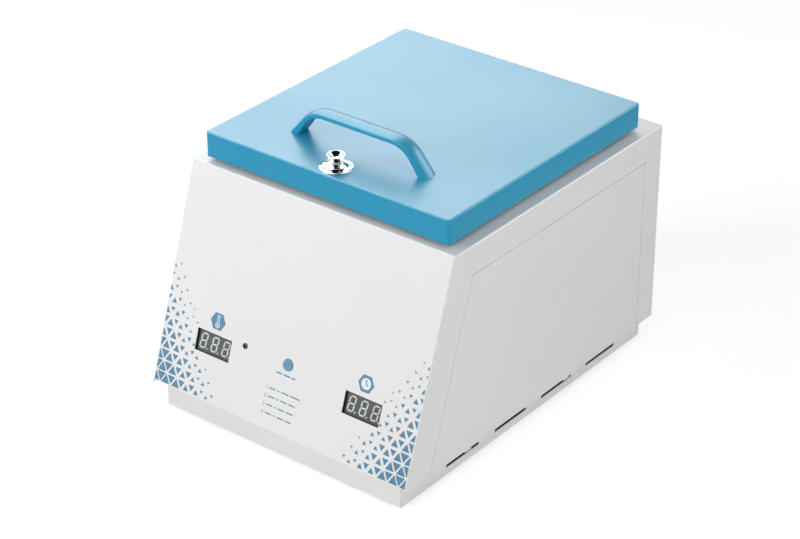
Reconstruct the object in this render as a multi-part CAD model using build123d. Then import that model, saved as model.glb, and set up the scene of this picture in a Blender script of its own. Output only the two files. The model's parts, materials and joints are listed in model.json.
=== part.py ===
from build123d import *
import math
import os

# Lengths are in millimetres and angles in degrees. +Z is up and the front faces -Y.
# The origin is on the table, at the middle of the footprint.

# Sheet metal housing
body_width = 280.0
body_depth = 365.0
body_height = 190.0
front_lean = 63.8
sheet = 1.0
bend_radius = 1.7
bottom_flange = 24.0
side_drop = 2.6

# Flush side panels, framed by strips of the housing
strip_front = 30.5
strip_top = 27.0
strip_rear = 26.0
panel_gap = 0.45
panel_lap = 9.0
panel_joggle = 1.2
relief_radius = 1.0

# Plinth tray and feet
plinth_height = 25.3
plinth_inset_side = 10.1
plinth_inset_front = 6.3
plinth_inset_rear = 4.5
plinth_sheet = 1.2
plinth_flange = 13.0
vent_count = 4
vent_length = 46.0
vent_height = 3.0
vent_pitch = 68.4
vent_level = 9.5
vent_shift = 10.7
foot_height = 3.0
foot_radius = 9.0
foot_inset = 24.0
foot_web = 1.2
foot_recess_radius = 4.2

# Screws
screw_radius = 2.0
screw_head_radius = 3.5
screw_head = 2.4
small_screw_radius = 1.5
small_head_radius = 2.8
small_head = 1.6
hole_clearance = 0.2
thread_clearance = 0.02
access_hole_radius = 5.0
low_head = 1.4
flat_head = 0.9
base_screw_grip = 3.0
foot_screw_grip = 2.0
lid_plate_screw_grip = 8.0
hinge_screw_length = 5.0
hinge_screw_head = 1.0
inlet_screw_length = 6.0
board_screw_grip = 4.0
thread_depth = 6.0

# Lid
lid_margin_front = 5.0
lid_margin_rear = 22.4
lid_margin_side = 10.6
lid_gap = 1.4
lid_height = 25.2
lid_sheet = 1.0
lid_bend = 1.4
lid_corner_bend = 3.0
lid_corner_radius = 4.5
lid_plate_recess = 1.6
lid_plate_rim = 7.0
lid_plate_clearance = 0.2
lid_post_radius = 4.0
lid_post_inset = 14.0
lid_pad_gap = 4.0
lid_pad_pocket = 6.0
fixing_room = 1.5
seal_width = 7.0
seal_inset = 3.0
seal_clearance = 0.3

# Chamber, heater and insulation
chamber_margin_side = 29.4
chamber_margin_front = 37.2
chamber_margin_rear = 36.8
chamber_depth = 108.0
chamber_corner = 12.0
chamber_floor_radius = 6.0
rim_width = 12.0
rim_clearance = 1.5
heater_radius = 3.25
heater_clearance = 0.1
heater_bend = 14.0
heater_low = 28.0
heater_rise = 42.0
heater_front_turn = 16.0
insulation = 20.0
insulation_floor = 22.0
case_sheet = 0.8
case_flange = 7.0
case_clearance = 0.2
probe_radius = 2.0
probe_height = 52.0
probe_offset = 40.0
probe_reach = 5.0
cutout_radius = 8.0
cutout_height = 6.0
cutout_offset = 45.0
cutout_room = 3.0
probe_tail = 8.0
gland_radius = 5.5
gland_gap = 1.0

# Instrument tray
tray_height = 25.0
tray_sheet = 0.8
tray_rim = 3.0
tray_clearance = 1.0
tray_floor_radius = 3.0
tray_slot_length = 22.0
tray_slot_width = 6.0
tray_slot_columns = 4
tray_slot_rows = 6

# Bow handle
handle_hole_spacing = 134.0
handle_outer_wall = 6.9
handle_inner_wall = 2.9
handle_width = 15.0
handle_rise = 27.8
handle_lean = 40.1
handle_bend = 32.0
handle_crown = 2.0
handle_edge = 1.0
handle_inner_rise = 22.0
handle_inner_lean = 36.0
handle_inner_bend = 24.0
handle_setback = 50.6
handle_trim = 2.0
handle_screw_grip = 4.0

# Lid latch
latch_setback = 16.9
rosette_radius = 14.2
rosette_rim = 0.9
rosette_height = 4.4
rosette_neck = 6.9
sleeve_radius = 5.0
sleeve_nut_radius = 7.5
sleeve_nut_height = 3.0
knob_gap = 0.3
knob_neck = 6.2
knob_rim_radius = 7.8
knob_height = 11.7
knob_dish = 3.2
knob_wall = 1.2
knob_edge = 0.5
knob_lip = 0.6
knob_bowl = 1.4
spindle_radius = 3.0
spindle_clearance = 0.1
bar_length = 18.0
bar_width = 6.0
bar_height = 4.0
bar_clearance = 0.5
keeper_clearance = 0.7
keeper_sheet = 1.5
keeper_border = 9.0
keeper_side = 7.0
pocket_room = 4.0

# Hinges
hinge_margin = 65.0
hinge_length = 42.0
knuckle_count = 5
knuckle_radius = 3.2
knuckle_gap = 0.3
hinge_pin_radius = 1.5
hinge_pin_clearance = 0.05
hinge_clearance = 0.3
leaf_thickness = 1.5
leaf_length = 15.0
hinge_screw_spacing = 26.0

# Front panel controls, by place across the panel and height up the panel
display_margin = 58.4
display_level = 50.8
display_width = 37.7
display_height = 19.0
display_thickness = 8.0
display_recess = 2.2
display_clearance = 0.4
digit_height = 14.2
digit_width = 7.2
digit_pitch = 12.4
digit_slant = 8.0
segment_width = 1.4
segment_thickness = 0.15
segment_gap = 0.25
digit_shift = 0.2
point_radius = 0.8
point_gap = 1.6
led_spacing = 33.8
led_level = 61.5
led_radius = 1.5
led_length = 5.3
led_collar = 0.4
led_collar_height = 1.0
led_lead = 0.6
led_lead_offset = 0.8
led_tip = 0.3
led_sleeve_wall = 0.7
led_rim_radius = 2.6
led_rim_height = 0.5
button_level = 60.8
button_radius = 5.1
button_clearance = 0.3
button_proud = 0.9
button_round = 0.4
button_lip = 1.3
button_lip_height = 1.2
button_travel = 0.6
button_stem_radius = 1.6
switch_width = 6.2
switch_height = 3.4
switch_gap = 0.2
board_margin = 34.0
board_height = 62.0
board_low = 24.0
board_thickness = 1.6
board_edge = 5.0
standoff_radius = 2.8

# Rear panel
inlet_margin = 45.0
inlet_level = 30.0
inlet_flange_width = 50.0
inlet_flange_height = 24.0
inlet_flange = 2.0
inlet_body_width = 27.2
inlet_body_height = 19.6
inlet_body_depth = 22.0
inlet_wall = 1.5
inlet_chamfer = 5.0
inlet_socket_depth = 16.0
inlet_hole_spacing = 40.0
inlet_pin_pitch = 14.0
inlet_earth_rise = 4.0
inlet_pin_drop = 1.5
inlet_pin_width = 2.0
inlet_pin_height = 4.0
inlet_pin_tail = 7.0
inlet_pin_setback = 1.0
rocker_spacing = 47.0
rocker_level = 30.0
rocker_frame_width = 15.0
rocker_frame_height = 21.4
rocker_frame = 2.0
rocker_body_width = 12.8
rocker_body_height = 19.2
rocker_body_depth = 14.0
rocker_floor = 2.0
rocker_well_height = 17.6
rocker_well_width = 10.4
rocker_width = 9.8
rocker_half = 7.2
rocker_crest = 6.4
rocker_valley = 4.9
rocker_shoulder = 3.4
rocker_keel = 2.5
rocker_keel_half = 3.0
rocker_axis_depth = 4.0
rocker_tilt = 12.0
rocker_pivot_radius = 1.0
rocker_pivot_length = 0.9
rocker_pivot_clearance = 0.08
panel_cut_clearance = 0.2
rear_vent_count = 9
rear_vent_length = 24.0
rear_vent_width = 3.0
rear_vent_pitch = 8.0
rear_vent_margin = 80.0
rear_vent_level = 32.0

# Power electronics on the plinth's floor
power_width = 110.0
power_depth = 84.0
power_x = -15.0
power_setback = 200.0
power_spacer = 6.0
power_spacer_radius = 3.0
power_edge = 5.0
relay_size = (19.0, 15.5, 15.4)
transformer_size = (34.0, 29.0, 27.0)
terminal_size = (46.0, 11.0, 13.0)
terminal_ways = 6
tab_size = (6.0, 0.8, 8.0)
screwdriver_hole = 4.0
wire_gate = (4.4, 4.5, 4.5)

# Planes that follow from the sizes above
lean = math.degrees(math.atan2(front_lean, body_height))
lean_sin = math.sin(math.radians(lean))
lean_cos = math.cos(math.radians(lean))
tilt_sin = math.sin(math.radians(rocker_tilt))
tilt_cos = math.cos(math.radians(rocker_tilt))
rocker_reach = rocker_crest * tilt_cos + rocker_half * tilt_sin - rocker_axis_depth
half_width = body_width / 2
hinge_offset = half_width - hinge_margin
handle_half_length = handle_hole_spacing / 2 + handle_outer_wall
handle_foot_inner = handle_hole_spacing / 2 - handle_inner_wall
display_offset = half_width - display_margin
led_offset = led_spacing - display_offset
board_width = body_width - 2 * board_margin
inlet_offset = inlet_margin - half_width
rocker_offset = inlet_offset + rocker_spacing
rear_vent_offset = half_width - rear_vent_margin
y_front = -(body_depth + rocker_reach) / 2
y_rear = y_front + body_depth
z_plinth = foot_height
z_body = z_plinth + plinth_height
z_side = z_body - side_drop
z_top = z_body + body_height
z_lid = z_top + lid_gap
z_lid_top = z_lid + lid_height
lid_half = half_width - lid_margin_side
y_lid_front = y_front + front_lean + lid_margin_front
y_lid_rear = y_rear - lid_margin_rear
z_lid_plate = z_lid + lid_plate_recess
chamber_half = lid_half - chamber_margin_side
y_chamber_front = y_lid_front + chamber_margin_front
y_chamber_rear = y_lid_rear - chamber_margin_rear
z_chamber_floor = z_top + sheet - chamber_depth
z_rim = z_top + sheet
heater_space = heater_clearance + 2 * heater_radius + 0.6
jacket_inner = sheet + heater_space
jacket_outer = jacket_inner + insulation
z_jacket_floor = z_chamber_floor - sheet - insulation_floor
y_latch = y_lid_front + latch_setback
y_handle = y_lid_front + handle_setback
y_hinge = y_lid_rear + knuckle_radius + hinge_clearance
z_hinge = z_top + knuckle_radius + hinge_clearance
z_tray_floor = z_plinth + plinth_sheet
board_depth = display_recess + display_thickness
led_sleeve_radius = led_radius + thread_clearance + led_sleeve_wall
led_collar_depth = led_tip + led_length - led_collar_height
z_rocker = z_body + rocker_level
z_inlet = z_body + inlet_level

front_panel = Plane(origin=(0, y_front, z_body), x_dir=(1, 0, 0), z_dir=(0, -lean_cos, lean_sin))
nodes = {}


def keep(name, *shapes):
    """Store one node, from one solid or a group of separate ones."""
    nodes[name] = shapes[0] if len(shapes) == 1 else Compound(children=list(shapes))


def front_y(z, inset):
    """Y of the sloped front at a height, measured square to it from the outer face inwards."""
    return y_front + (z - z_body) * front_lean / body_height + inset / lean_cos


def box(x_low, x_high, y_low, y_high, z_low, z_high):
    """Block between two corners."""
    size = (x_high - x_low, y_high - y_low, z_high - z_low)
    return Pos(x_low, y_low, z_low) * Box(*size, align=(Align.MIN, Align.MIN, Align.MIN))


def prism_x(points, x_low, x_high):
    """Outline of (y, z) points, drawn out along X."""
    face = Plane.YZ.offset(x_low) * Polygon(*points, align=None)
    return extrude(face, amount=x_high - x_low, dir=(1, 0, 0))


def post(x, y, z_low, z_high, radius):
    """Upright round bar."""
    height = z_high - z_low
    return Pos(x, y, z_low) * Cylinder(radius, height, align=(Align.CENTER, Align.CENTER, Align.MIN))


def bar_x(x_low, x_high, y, z, radius):
    """Round bar along X."""
    middle = Pos((x_low + x_high) / 2, y, z)
    return middle * Rot(0, 90, 0) * Cylinder(radius, x_high - x_low)


def bar_y(x, y_low, y_high, z, radius):
    """Round bar along Y."""
    middle = Pos(x, (y_low + y_high) / 2, z)
    return middle * Rot(90, 0, 0) * Cylinder(radius, y_high - y_low)


def on_panel(x, level, depth):
    """Place on the front panel: across, up the slope, and behind its outer face."""
    return front_panel * Pos(x, level, -depth)


def panel_block(x, level, width, height, depth_low, depth_high):
    """Block square to the front panel, between two depths behind its outer face."""
    thickness = depth_high - depth_low
    place = on_panel(x, level, depth_high)
    return place * Box(width, height, thickness, align=(Align.CENTER, Align.CENTER, Align.MIN))


def panel_disc(x, level, radius, depth_low, depth_high):
    """Round bar square to the front panel, between two depths behind its outer face."""
    thickness = depth_high - depth_low
    place = on_panel(x, level, depth_high)
    return place * Cylinder(radius, thickness, align=(Align.CENTER, Align.CENTER, Align.MIN))


def screw_up(x, y, z_seat, length, radius, head_radius, head):
    """Screw with its head under the seat and its shank pointing up."""
    shank = post(x, y, z_seat - head / 2, z_seat + length, radius)
    cap = post(x, y, z_seat - head, z_seat, head_radius)
    cap = fillet(cap.edges().group_by(Axis.Z)[0], head * 0.4)
    return cap + shank


def screw_down(x, y, z_seat, length, radius, head_radius, head):
    """Screw with its head on the seat and its shank pointing down."""
    shank = post(x, y, z_seat - length, z_seat + head / 2, radius)
    cap = post(x, y, z_seat, z_seat + head, head_radius)
    cap = fillet(cap.edges().group_by(Axis.Z)[-1], head * 0.4)
    return cap + shank


# Where pieces are screwed together
foot_places = [
    (side * (half_width - plinth_inset_side - foot_inset), y)
    for side in (-1, 1)
    for y in (y_front + plinth_inset_front + foot_inset, y_rear - plinth_inset_rear - foot_inset)
]
flange_line = plinth_sheet + plinth_flange / 2
side_line = half_width - plinth_inset_side - flange_line
base_screw_places = [
    (side * side_line * share, y)
    for side in (-1, 1)
    for share, y in (
        (0.6, y_front + plinth_inset_front + flange_line),
        (0.6, y_rear - plinth_inset_rear - flange_line),
        (1.0, y_front + body_depth * 0.3),
        (1.0, y_front + body_depth * 0.7),
    )
]
hinge_screw_places = [
    (side * hinge_offset + shift * hinge_screw_spacing / 2)
    for side in (-1, 1)
    for shift in (-1, 1)
]
hinge_screw_reach = (knuckle_radius + leaf_length) / 2
lid_post_places = [
    (side * (lid_half - lid_post_inset), y)
    for side in (-1, 1)
    for y in (y_lid_front + lid_post_inset, y_lid_rear - lid_post_inset)
]
standoff_places = [
    (side * (board_width / 2 - board_edge), level)
    for side in (-1, 1)
    for level in (board_low + board_edge, board_low + board_height - board_edge)
]
power_y = y_front + power_setback
power_hole_places = [
    (power_x + side * (power_width / 2 - power_edge), power_y + end * (power_depth / 2 - power_edge))
    for side in (-1, 1)
    for end in (-1, 1)
]


def housing_block(inset, z_low, bend):
    """Solid block with the housing's side outline, with each face moved in by the inset."""
    z_high = z_top - inset
    outline = [
        (front_y(z_low, inset), z_low),
        (front_y(z_high, inset), z_high),
        (y_rear - inset, z_high),
        (y_rear - inset, z_low),
    ]
    block = prism_x(outline, inset - half_width, half_width - inset)
    folds = block.edges() - block.edges().group_by(Axis.Z)[0]
    return fillet(folds, bend)


def side_outline(inset, z_low):
    """Outline of the opening for a side panel, shrunk by the inset at the front, top and rear."""
    z_high = z_top - strip_top - inset
    y_high = y_rear - strip_rear - inset
    return [
        (front_y(z_low, strip_front + inset), z_low),
        (front_y(z_high, strip_front + inset), z_high),
        (y_high, z_high),
        (y_high, z_low),
    ]


def vent(length, width, thickness):
    """Slot cutter with round ends, lying along X and drawn out along Z."""
    return extrude(SlotOverall(length, width), thickness / 2, both=True)


def outer_shell():
    """Front, top and rear in one folded sheet, with strips returned onto the sides."""
    shell = housing_block(0, z_side, bend_radius)
    shell -= housing_block(sheet, z_side - sheet, bend_radius - sheet)
    inside = half_width - sheet
    cut_low = z_side - sheet
    shell -= box(-inside, inside, front_y(cut_low, -sheet), y_rear + sheet, cut_low, z_body)
    front_flange = (y_front + sheet, y_front + bottom_flange)
    rear_flange = (y_rear - bottom_flange, y_rear - sheet)
    for y_low, y_high in (front_flange, rear_flange):
        shell += box(-inside, inside, y_low, y_high, z_body, z_body + sheet)
    shell -= prism_x(side_outline(0, cut_low), -half_width - sheet, -inside)
    shell -= prism_x(side_outline(0, cut_low), inside, half_width + sheet)
    z_corner = z_top - strip_top
    for y, z in (
        (front_y(z_corner, strip_front), z_corner),
        (y_rear - strip_rear, z_corner),
        (front_y(z_body, strip_front), z_body),
        (y_rear - strip_rear, z_body),
    ):
        shell -= bar_x(-half_width - sheet, half_width + sheet, y, z, relief_radius)
    hole = sheet + rim_clearance
    shell -= box(
        -chamber_half - hole, chamber_half + hole,
        y_chamber_front - hole, y_chamber_rear + hole,
        z_top - 2 * sheet, z_top + sheet,
    )
    keyhole = vent(bar_length + keeper_border, bar_width + keeper_border / 2, 4 * sheet)
    shell -= Pos(0, y_latch, z_top) * keyhole
    window_width = display_width + 2 * display_clearance
    window_height = display_height + 2 * display_clearance
    for side in (-1, 1):
        x = side * display_offset
        shell -= panel_block(x, display_level, window_width, window_height, -sheet, 2 * sheet)
    shell -= panel_disc(led_offset, led_level, led_sleeve_radius + thread_clearance, -sheet, 2 * sheet)
    shell -= panel_disc(0, button_level, button_radius + button_clearance, -sheet, 2 * sheet)
    rear = (y_rear - 2 * sheet, y_rear + sheet)
    cut_x = inlet_body_width / 2 + panel_cut_clearance
    cut_z = inlet_body_height / 2 + panel_cut_clearance
    shell -= box(inlet_offset - cut_x, inlet_offset + cut_x, *rear, z_inlet - cut_z, z_inlet + cut_z)
    for side in (-1, 1):
        x = inlet_offset + side * inlet_hole_spacing / 2
        shell -= bar_y(x, *rear, z_inlet, small_screw_radius + thread_clearance)
    cut_x = rocker_body_width / 2 + panel_cut_clearance
    cut_z = rocker_body_height / 2 + panel_cut_clearance
    shell -= box(rocker_offset - cut_x, rocker_offset + cut_x, *rear, z_rocker - cut_z, z_rocker + cut_z)
    louvre = Rot(90, 0, 0) * Rot(0, 0, 90) * vent(rear_vent_length, rear_vent_width, 4 * sheet)
    for index in range(rear_vent_count):
        x = rear_vent_offset + (index - (rear_vent_count - 1) / 2) * rear_vent_pitch
        shell -= Pos(x, y_rear, z_body + rear_vent_level) * louvre
    for x in hinge_screw_places:
        y = y_hinge + hinge_screw_reach
        shell -= post(x, y, z_top - 2 * sheet, z_top + sheet, small_screw_radius + thread_clearance)
    for x, y in base_screw_places:
        if abs(x) < side_line:
            shell -= post(x, y, z_body - sheet, z_body + 2 * sheet, screw_radius + thread_clearance)
    return shell


def side_panel(side):
    """Flush panel with a joggled border that laps behind the housing's strips."""
    face = half_width - sheet
    z_low = z_side
    panel = prism_x(side_outline(panel_gap, z_low), face, half_width)
    z_lap = z_body + sheet + panel_gap
    border = prism_x(side_outline(panel_gap - panel_lap, z_lap), face - sheet, face)
    border -= prism_x(side_outline(panel_gap + panel_joggle, z_lap - sheet), face - 2 * sheet, face + sheet)
    panel += border
    flange = side_outline(panel_gap, z_body)
    panel += box(
        half_width - bottom_flange, face,
        y_front + bottom_flange + panel_gap, flange[3][0],
        z_body, z_body + sheet,
    ) & prism_x(side_outline(panel_gap, z_body), 0, half_width)
    for x, y in base_screw_places:
        if x >= side_line:
            panel -= post(x, y, z_body - sheet, z_body + 2 * sheet, screw_radius + thread_clearance)
    return panel if side > 0 else mirror(panel, Plane.YZ)


def plinth_block(inset, z_high, bend):
    """Solid block with the plinth's outline, with each face moved in by the inset."""
    block = box(
        plinth_inset_side + inset - half_width, half_width - plinth_inset_side - inset,
        y_front + plinth_inset_front + inset, y_rear - plinth_inset_rear - inset,
        z_plinth + inset, z_high,
    )
    folds = block.edges() - block.edges().group_by(Axis.Z)[-1]
    return fillet(folds, bend)


def base_tray():
    """Plinth, folded as a pan with an inward flange that carries the housing."""
    tray = plinth_block(0, z_body, bend_radius)
    tray -= plinth_block(plinth_sheet, z_body - plinth_sheet, bend_radius - plinth_sheet)
    mouth = plinth_sheet + plinth_flange
    tray -= box(
        plinth_inset_side + mouth - half_width, half_width - plinth_inset_side - mouth,
        y_front + plinth_inset_front + mouth, y_rear - plinth_inset_rear - mouth,
        z_body - 2 * plinth_sheet, z_body + plinth_sheet,
    )
    slot = Rot(0, 0, 90) * Rot(90, 0, 0) * vent(vent_length, vent_height, 4 * plinth_sheet)
    for side in (-1, 1):
        for index in range(vent_count):
            y = (y_front + y_rear) / 2 + vent_shift + (index - (vent_count - 1) / 2) * vent_pitch
            tray -= Pos(side * (half_width - plinth_inset_side), y, z_plinth + vent_level) * slot
    for x, y in foot_places:
        tray -= post(x, y, z_plinth - 1, z_plinth + 2 * plinth_sheet, screw_radius + thread_clearance)
    for x, y in base_screw_places:
        tray -= post(x, y, z_body - 2 * plinth_sheet, z_body + 1, screw_radius + hole_clearance)
        tray -= post(x, y, z_plinth - 1, z_plinth + 2 * plinth_sheet, access_hole_radius)
    for x, y in power_hole_places:
        tray -= post(x, y, z_plinth - 1, z_plinth + 2 * plinth_sheet, small_screw_radius + hole_clearance)
    return tray


def feet():
    """Four rubber feet, each recessed for its screw."""
    made = []
    for x, y in foot_places:
        foot = post(x, y, 0, foot_height, foot_radius)
        foot = chamfer(foot.edges().group_by(Axis.Z)[0], foot_web / 2)
        foot -= post(x, y, -1, foot_height - foot_web, foot_recess_radius)
        foot -= post(x, y, 0, foot_height + 1, screw_radius + hole_clearance)
        made.append(foot)
    return made


def rounded_block(half_x, y_low, y_high, z_low, z_high, corner, floor_radius):
    """Tank form: a block with round upright corners and a round floor edge."""
    block = box(-half_x, half_x, y_low, y_high, z_low, z_high)
    block = fillet(block.edges().filter_by(Axis.Z), corner)
    return fillet(block.edges().group_by(Axis.Z)[0], floor_radius)


def ring(half_x, y_low, y_high, corner, width, z_low, z_high):
    """Flat frame around a rounded opening."""
    outer = box(-half_x - width, half_x + width, y_low - width, y_high + width, z_low, z_high)
    outer = fillet(outer.edges().filter_by(Axis.Z), corner + width)
    inner = box(-half_x, half_x, y_low, y_high, z_low - 1, z_high + 1)
    return outer - fillet(inner.edges().filter_by(Axis.Z), corner)


def chamber():
    """Stainless tank that hangs by its rim from the housing's top."""
    outer = rounded_block(
        chamber_half + sheet, y_chamber_front - sheet, y_chamber_rear + sheet,
        z_chamber_floor - sheet, z_rim, chamber_corner + sheet, chamber_floor_radius + sheet,
    )
    rim = ring(chamber_half, y_chamber_front, y_chamber_rear, chamber_corner, sheet + rim_width, z_top, z_rim)
    inner = rounded_block(
        chamber_half, y_chamber_front, y_chamber_rear,
        z_chamber_floor, z_rim + 1, chamber_corner, chamber_floor_radius,
    )
    tank = outer + rim - inner
    z_probe = z_chamber_floor + probe_height
    tank -= bar_y(probe_offset, y_chamber_front - 2 * sheet, y_chamber_front + sheet, z_probe, probe_hole)
    return tank


probe_hole = probe_radius + thread_clearance
heater_line = chamber_half + sheet + heater_clearance + heater_radius
y_heater_rear = y_chamber_rear + sheet + heater_clearance + heater_radius
y_heater_turn = y_chamber_front + heater_front_turn
y_case_front = y_chamber_front - jacket_outer - case_clearance - case_sheet
y_heater_end = y_case_front - heater_radius * 2
z_heater_low = z_chamber_floor + heater_low
z_heater_high = z_heater_low + heater_rise


def heating_element():
    """Sheathed heater wrapped round three walls of the tank, there and back."""
    path = FilletPolyline(
        (-heater_line, y_heater_end, z_heater_low),
        (-heater_line, y_heater_rear, z_heater_low),
        (heater_line, y_heater_rear, z_heater_low),
        (heater_line, y_heater_turn, z_heater_low),
        (heater_line, y_heater_turn, z_heater_high),
        (heater_line, y_heater_rear, z_heater_high),
        (-heater_line, y_heater_rear, z_heater_high),
        (-heater_line, y_heater_end, z_heater_high),
        radius=heater_bend,
    )
    section = Plane(origin=path @ 0, z_dir=path % 0) * Circle(heater_radius)
    return sweep(section, path=path)


def latch_pocket(z_low, margin):
    """Space left free for the keeper and the latch bar under the housing's top."""
    half = keeper_length / 2 + margin
    return box(-half, half, y_latch - half, y_latch + keeper_reach + margin, z_low, z_top)


keeper_length = bar_length + 2 * keeper_border
keeper_width = bar_width + 2 * keeper_side
keeper_reach = max(bar_length, keeper_width) / 2 + bar_clearance
z_keeper = z_top - sheet - keeper_sheet
z_bar = z_keeper - bar_clearance - bar_height
pocket_depth = z_bar - pocket_room


def insulation_jacket():
    """Mineral wool block around the tank, open at the top."""
    jacket = box(
        -chamber_half - jacket_outer, chamber_half + jacket_outer,
        y_chamber_front - jacket_outer, y_chamber_rear + jacket_outer,
        z_jacket_floor, z_top - sheet - case_clearance,
    )
    jacket -= box(
        -chamber_half - jacket_inner, chamber_half + jacket_inner,
        y_chamber_front - jacket_inner, y_chamber_rear + jacket_inner,
        z_chamber_floor - sheet, z_top,
    )
    jacket -= latch_pocket(pocket_depth, 0)
    for z in (z_heater_low, z_heater_high):
        y_inner = y_chamber_front - jacket_inner + 1
        jacket -= bar_y(-heater_line, y_case_front - 1, y_inner, z, heater_radius + hole_clearance)
    z_probe = z_chamber_floor + probe_height
    jacket -= bar_y(probe_offset, y_case_front - 1, y_chamber_front, z_probe, probe_radius + hole_clearance)
    y_cutout = y_chamber_rear - cutout_offset
    jacket -= post(0, y_cutout, z_jacket_floor - 1, z_chamber_floor, cutout_radius + cutout_room)
    return jacket


def insulation_case():
    """Thin sheet box around the insulation, hung by its flanges under the housing's top."""
    out = jacket_outer + case_clearance
    z_floor = z_jacket_floor - case_sheet
    z_high = z_top - sheet
    case = box(
        -chamber_half - out - case_sheet, chamber_half + out + case_sheet,
        y_chamber_front - out - case_sheet, y_chamber_rear + out + case_sheet,
        z_floor, z_high,
    )
    case += box(
        -chamber_half - out - case_flange, chamber_half + out + case_flange,
        y_chamber_front - out - case_flange, y_chamber_rear + out + case_flange,
        z_high - case_sheet, z_high,
    )
    case -= box(
        -chamber_half - out, chamber_half + out,
        y_chamber_front - out, y_chamber_rear + out,
        z_jacket_floor, z_high + 1,
    )
    case -= latch_pocket(pocket_depth, 1)
    for z in (z_heater_low, z_heater_high):
        case -= bar_y(-heater_line, y_case_front - 1, y_chamber_front, z, heater_radius + hole_clearance)
    z_probe = z_chamber_floor + probe_height
    y_inner = y_chamber_front - jacket_inner
    case -= bar_y(probe_offset, y_case_front - 1, y_inner, z_probe, probe_radius + hole_clearance)
    y_cutout = y_chamber_rear - cutout_offset
    case -= post(0, y_cutout, z_floor - 1, z_jacket_floor + 1, cutout_radius + cutout_room)
    return case


def temperature_probe():
    """Sensor tube through the front wall of the tank, with a rounded tip."""
    z_probe = z_chamber_floor + probe_height
    ends = (y_case_front - probe_tail, y_chamber_front + probe_reach)
    probe = bar_y(probe_offset, *ends, z_probe, probe_radius)
    return fillet(probe.edges().group_by(Axis.Y)[-1], probe_radius * 0.6)


def probe_gland():
    """Nut that holds the sensor on the outside of the tank."""
    z_probe = z_chamber_floor + probe_height
    length = heater_space - gland_gap
    gland = Rot(90, 0, 0) * extrude(RegularPolygon(gland_radius, 6), length)
    gland = Pos(probe_offset, y_chamber_front - sheet, z_probe) * gland
    return gland - bar_y(probe_offset, y_chamber_front - jacket_outer, y_chamber_front, z_probe, probe_hole)


def thermal_cutout():
    """Disc thermostat under the tank's floor, with two tabs."""
    y_cutout = y_chamber_rear - cutout_offset
    z_seat = z_chamber_floor - sheet
    disc = post(0, y_cutout, z_seat - cutout_height, z_seat, cutout_radius)
    tab_width, tab_thickness, tab_length = tab_size
    z_high = z_seat - cutout_height
    for side in (-1, 1):
        x = side * cutout_radius / 2
        disc += box(
            x - tab_thickness / 2, x + tab_thickness / 2,
            y_cutout - tab_width / 2, y_cutout + tab_width / 2,
            z_high - tab_length, z_high,
        )
    return disc


tray_inset = chamber_floor_radius + tray_clearance
tray_half = chamber_half - tray_inset
y_tray_front = y_chamber_front + tray_inset
y_tray_rear = y_chamber_rear - tray_inset


def instrument_tray():
    """Slotted tray with a rolled-out rim, resting on the tank's floor."""
    inner_corner = chamber_corner - tray_rim
    z_high = z_chamber_floor + tray_height
    body_half = tray_half - tray_rim
    y_low = y_tray_front + tray_rim
    y_high = y_tray_rear - tray_rim
    tray = rounded_block(body_half, y_low, y_high, z_chamber_floor, z_high, inner_corner, tray_floor_radius)
    rim = ring(body_half - tray_sheet, y_low + tray_sheet, y_high - tray_sheet, inner_corner - tray_sheet,
               tray_rim + tray_sheet, z_high - tray_sheet, z_high)
    inner = rounded_block(
        body_half - tray_sheet, y_low + tray_sheet, y_high - tray_sheet,
        z_chamber_floor + tray_sheet, z_high + 1, inner_corner - tray_sheet, tray_floor_radius - tray_sheet,
    )
    tray = tray + rim - inner
    pitch_x = 2 * (body_half - tray_slot_length / 2) / tray_slot_columns
    pitch_y = (y_high - y_low - 2 * tray_slot_width) / tray_slot_rows
    y_middle = (y_low + y_high) / 2
    for column in range(tray_slot_columns):
        for row in range(tray_slot_rows):
            x = (column - (tray_slot_columns - 1) / 2) * pitch_x
            y = y_middle + (row - (tray_slot_rows - 1) / 2) * pitch_y
            tray -= Pos(x, y, z_chamber_floor) * vent(tray_slot_length, tray_slot_width, 4 * tray_sheet)
    return tray


def lid_shell():
    """Folded pan with an open underside, with small bends and rounded lower corners."""
    def pan(inset, z_low):
        block = box(
            inset - lid_half, lid_half - inset,
            y_lid_front + inset, y_lid_rear - inset,
            z_low, z_lid_top - inset,
        )
        block = fillet(block.edges().filter_by(Axis.Z), lid_corner_bend - inset)
        return fillet(block.edges().group_by(Axis.Z)[-1], lid_bend - inset)

    shell = pan(0, z_lid) - pan(lid_sheet, z_lid - 1)
    length = y_lid_rear - y_lid_front
    z_middle = (z_lid + z_lid_top) / 2
    for size, turn in ((2 * lid_half, Rot(90, 0, 0)), (length, Rot(0, 0, 90) * Rot(90, 0, 0))):
        outline = Rectangle(size, lid_height)
        outline = fillet(outline.vertices().group_by(Axis.Y)[0], lid_corner_radius)
        mask = extrude(outline, body_depth, both=True)
        shell &= Pos(0, (y_lid_front + y_lid_rear) / 2, z_middle) * turn * mask
    for side in (-1, 1):
        x = side * handle_hole_spacing / 2
        shell -= post(x, y_handle, z_lid_top - 2 * lid_sheet, z_lid_top + 1, screw_radius + hole_clearance)
    shell -= post(0, y_latch, z_lid_top - 2 * lid_sheet, z_lid_top + 1, sleeve_radius + hole_clearance)
    for x in hinge_screw_places:
        z = z_hinge + hinge_screw_reach
        radius = small_screw_radius + thread_clearance
        shell -= bar_y(x, y_lid_rear - 2 * lid_sheet, y_lid_rear + 1, z, radius)
    return shell


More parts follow.
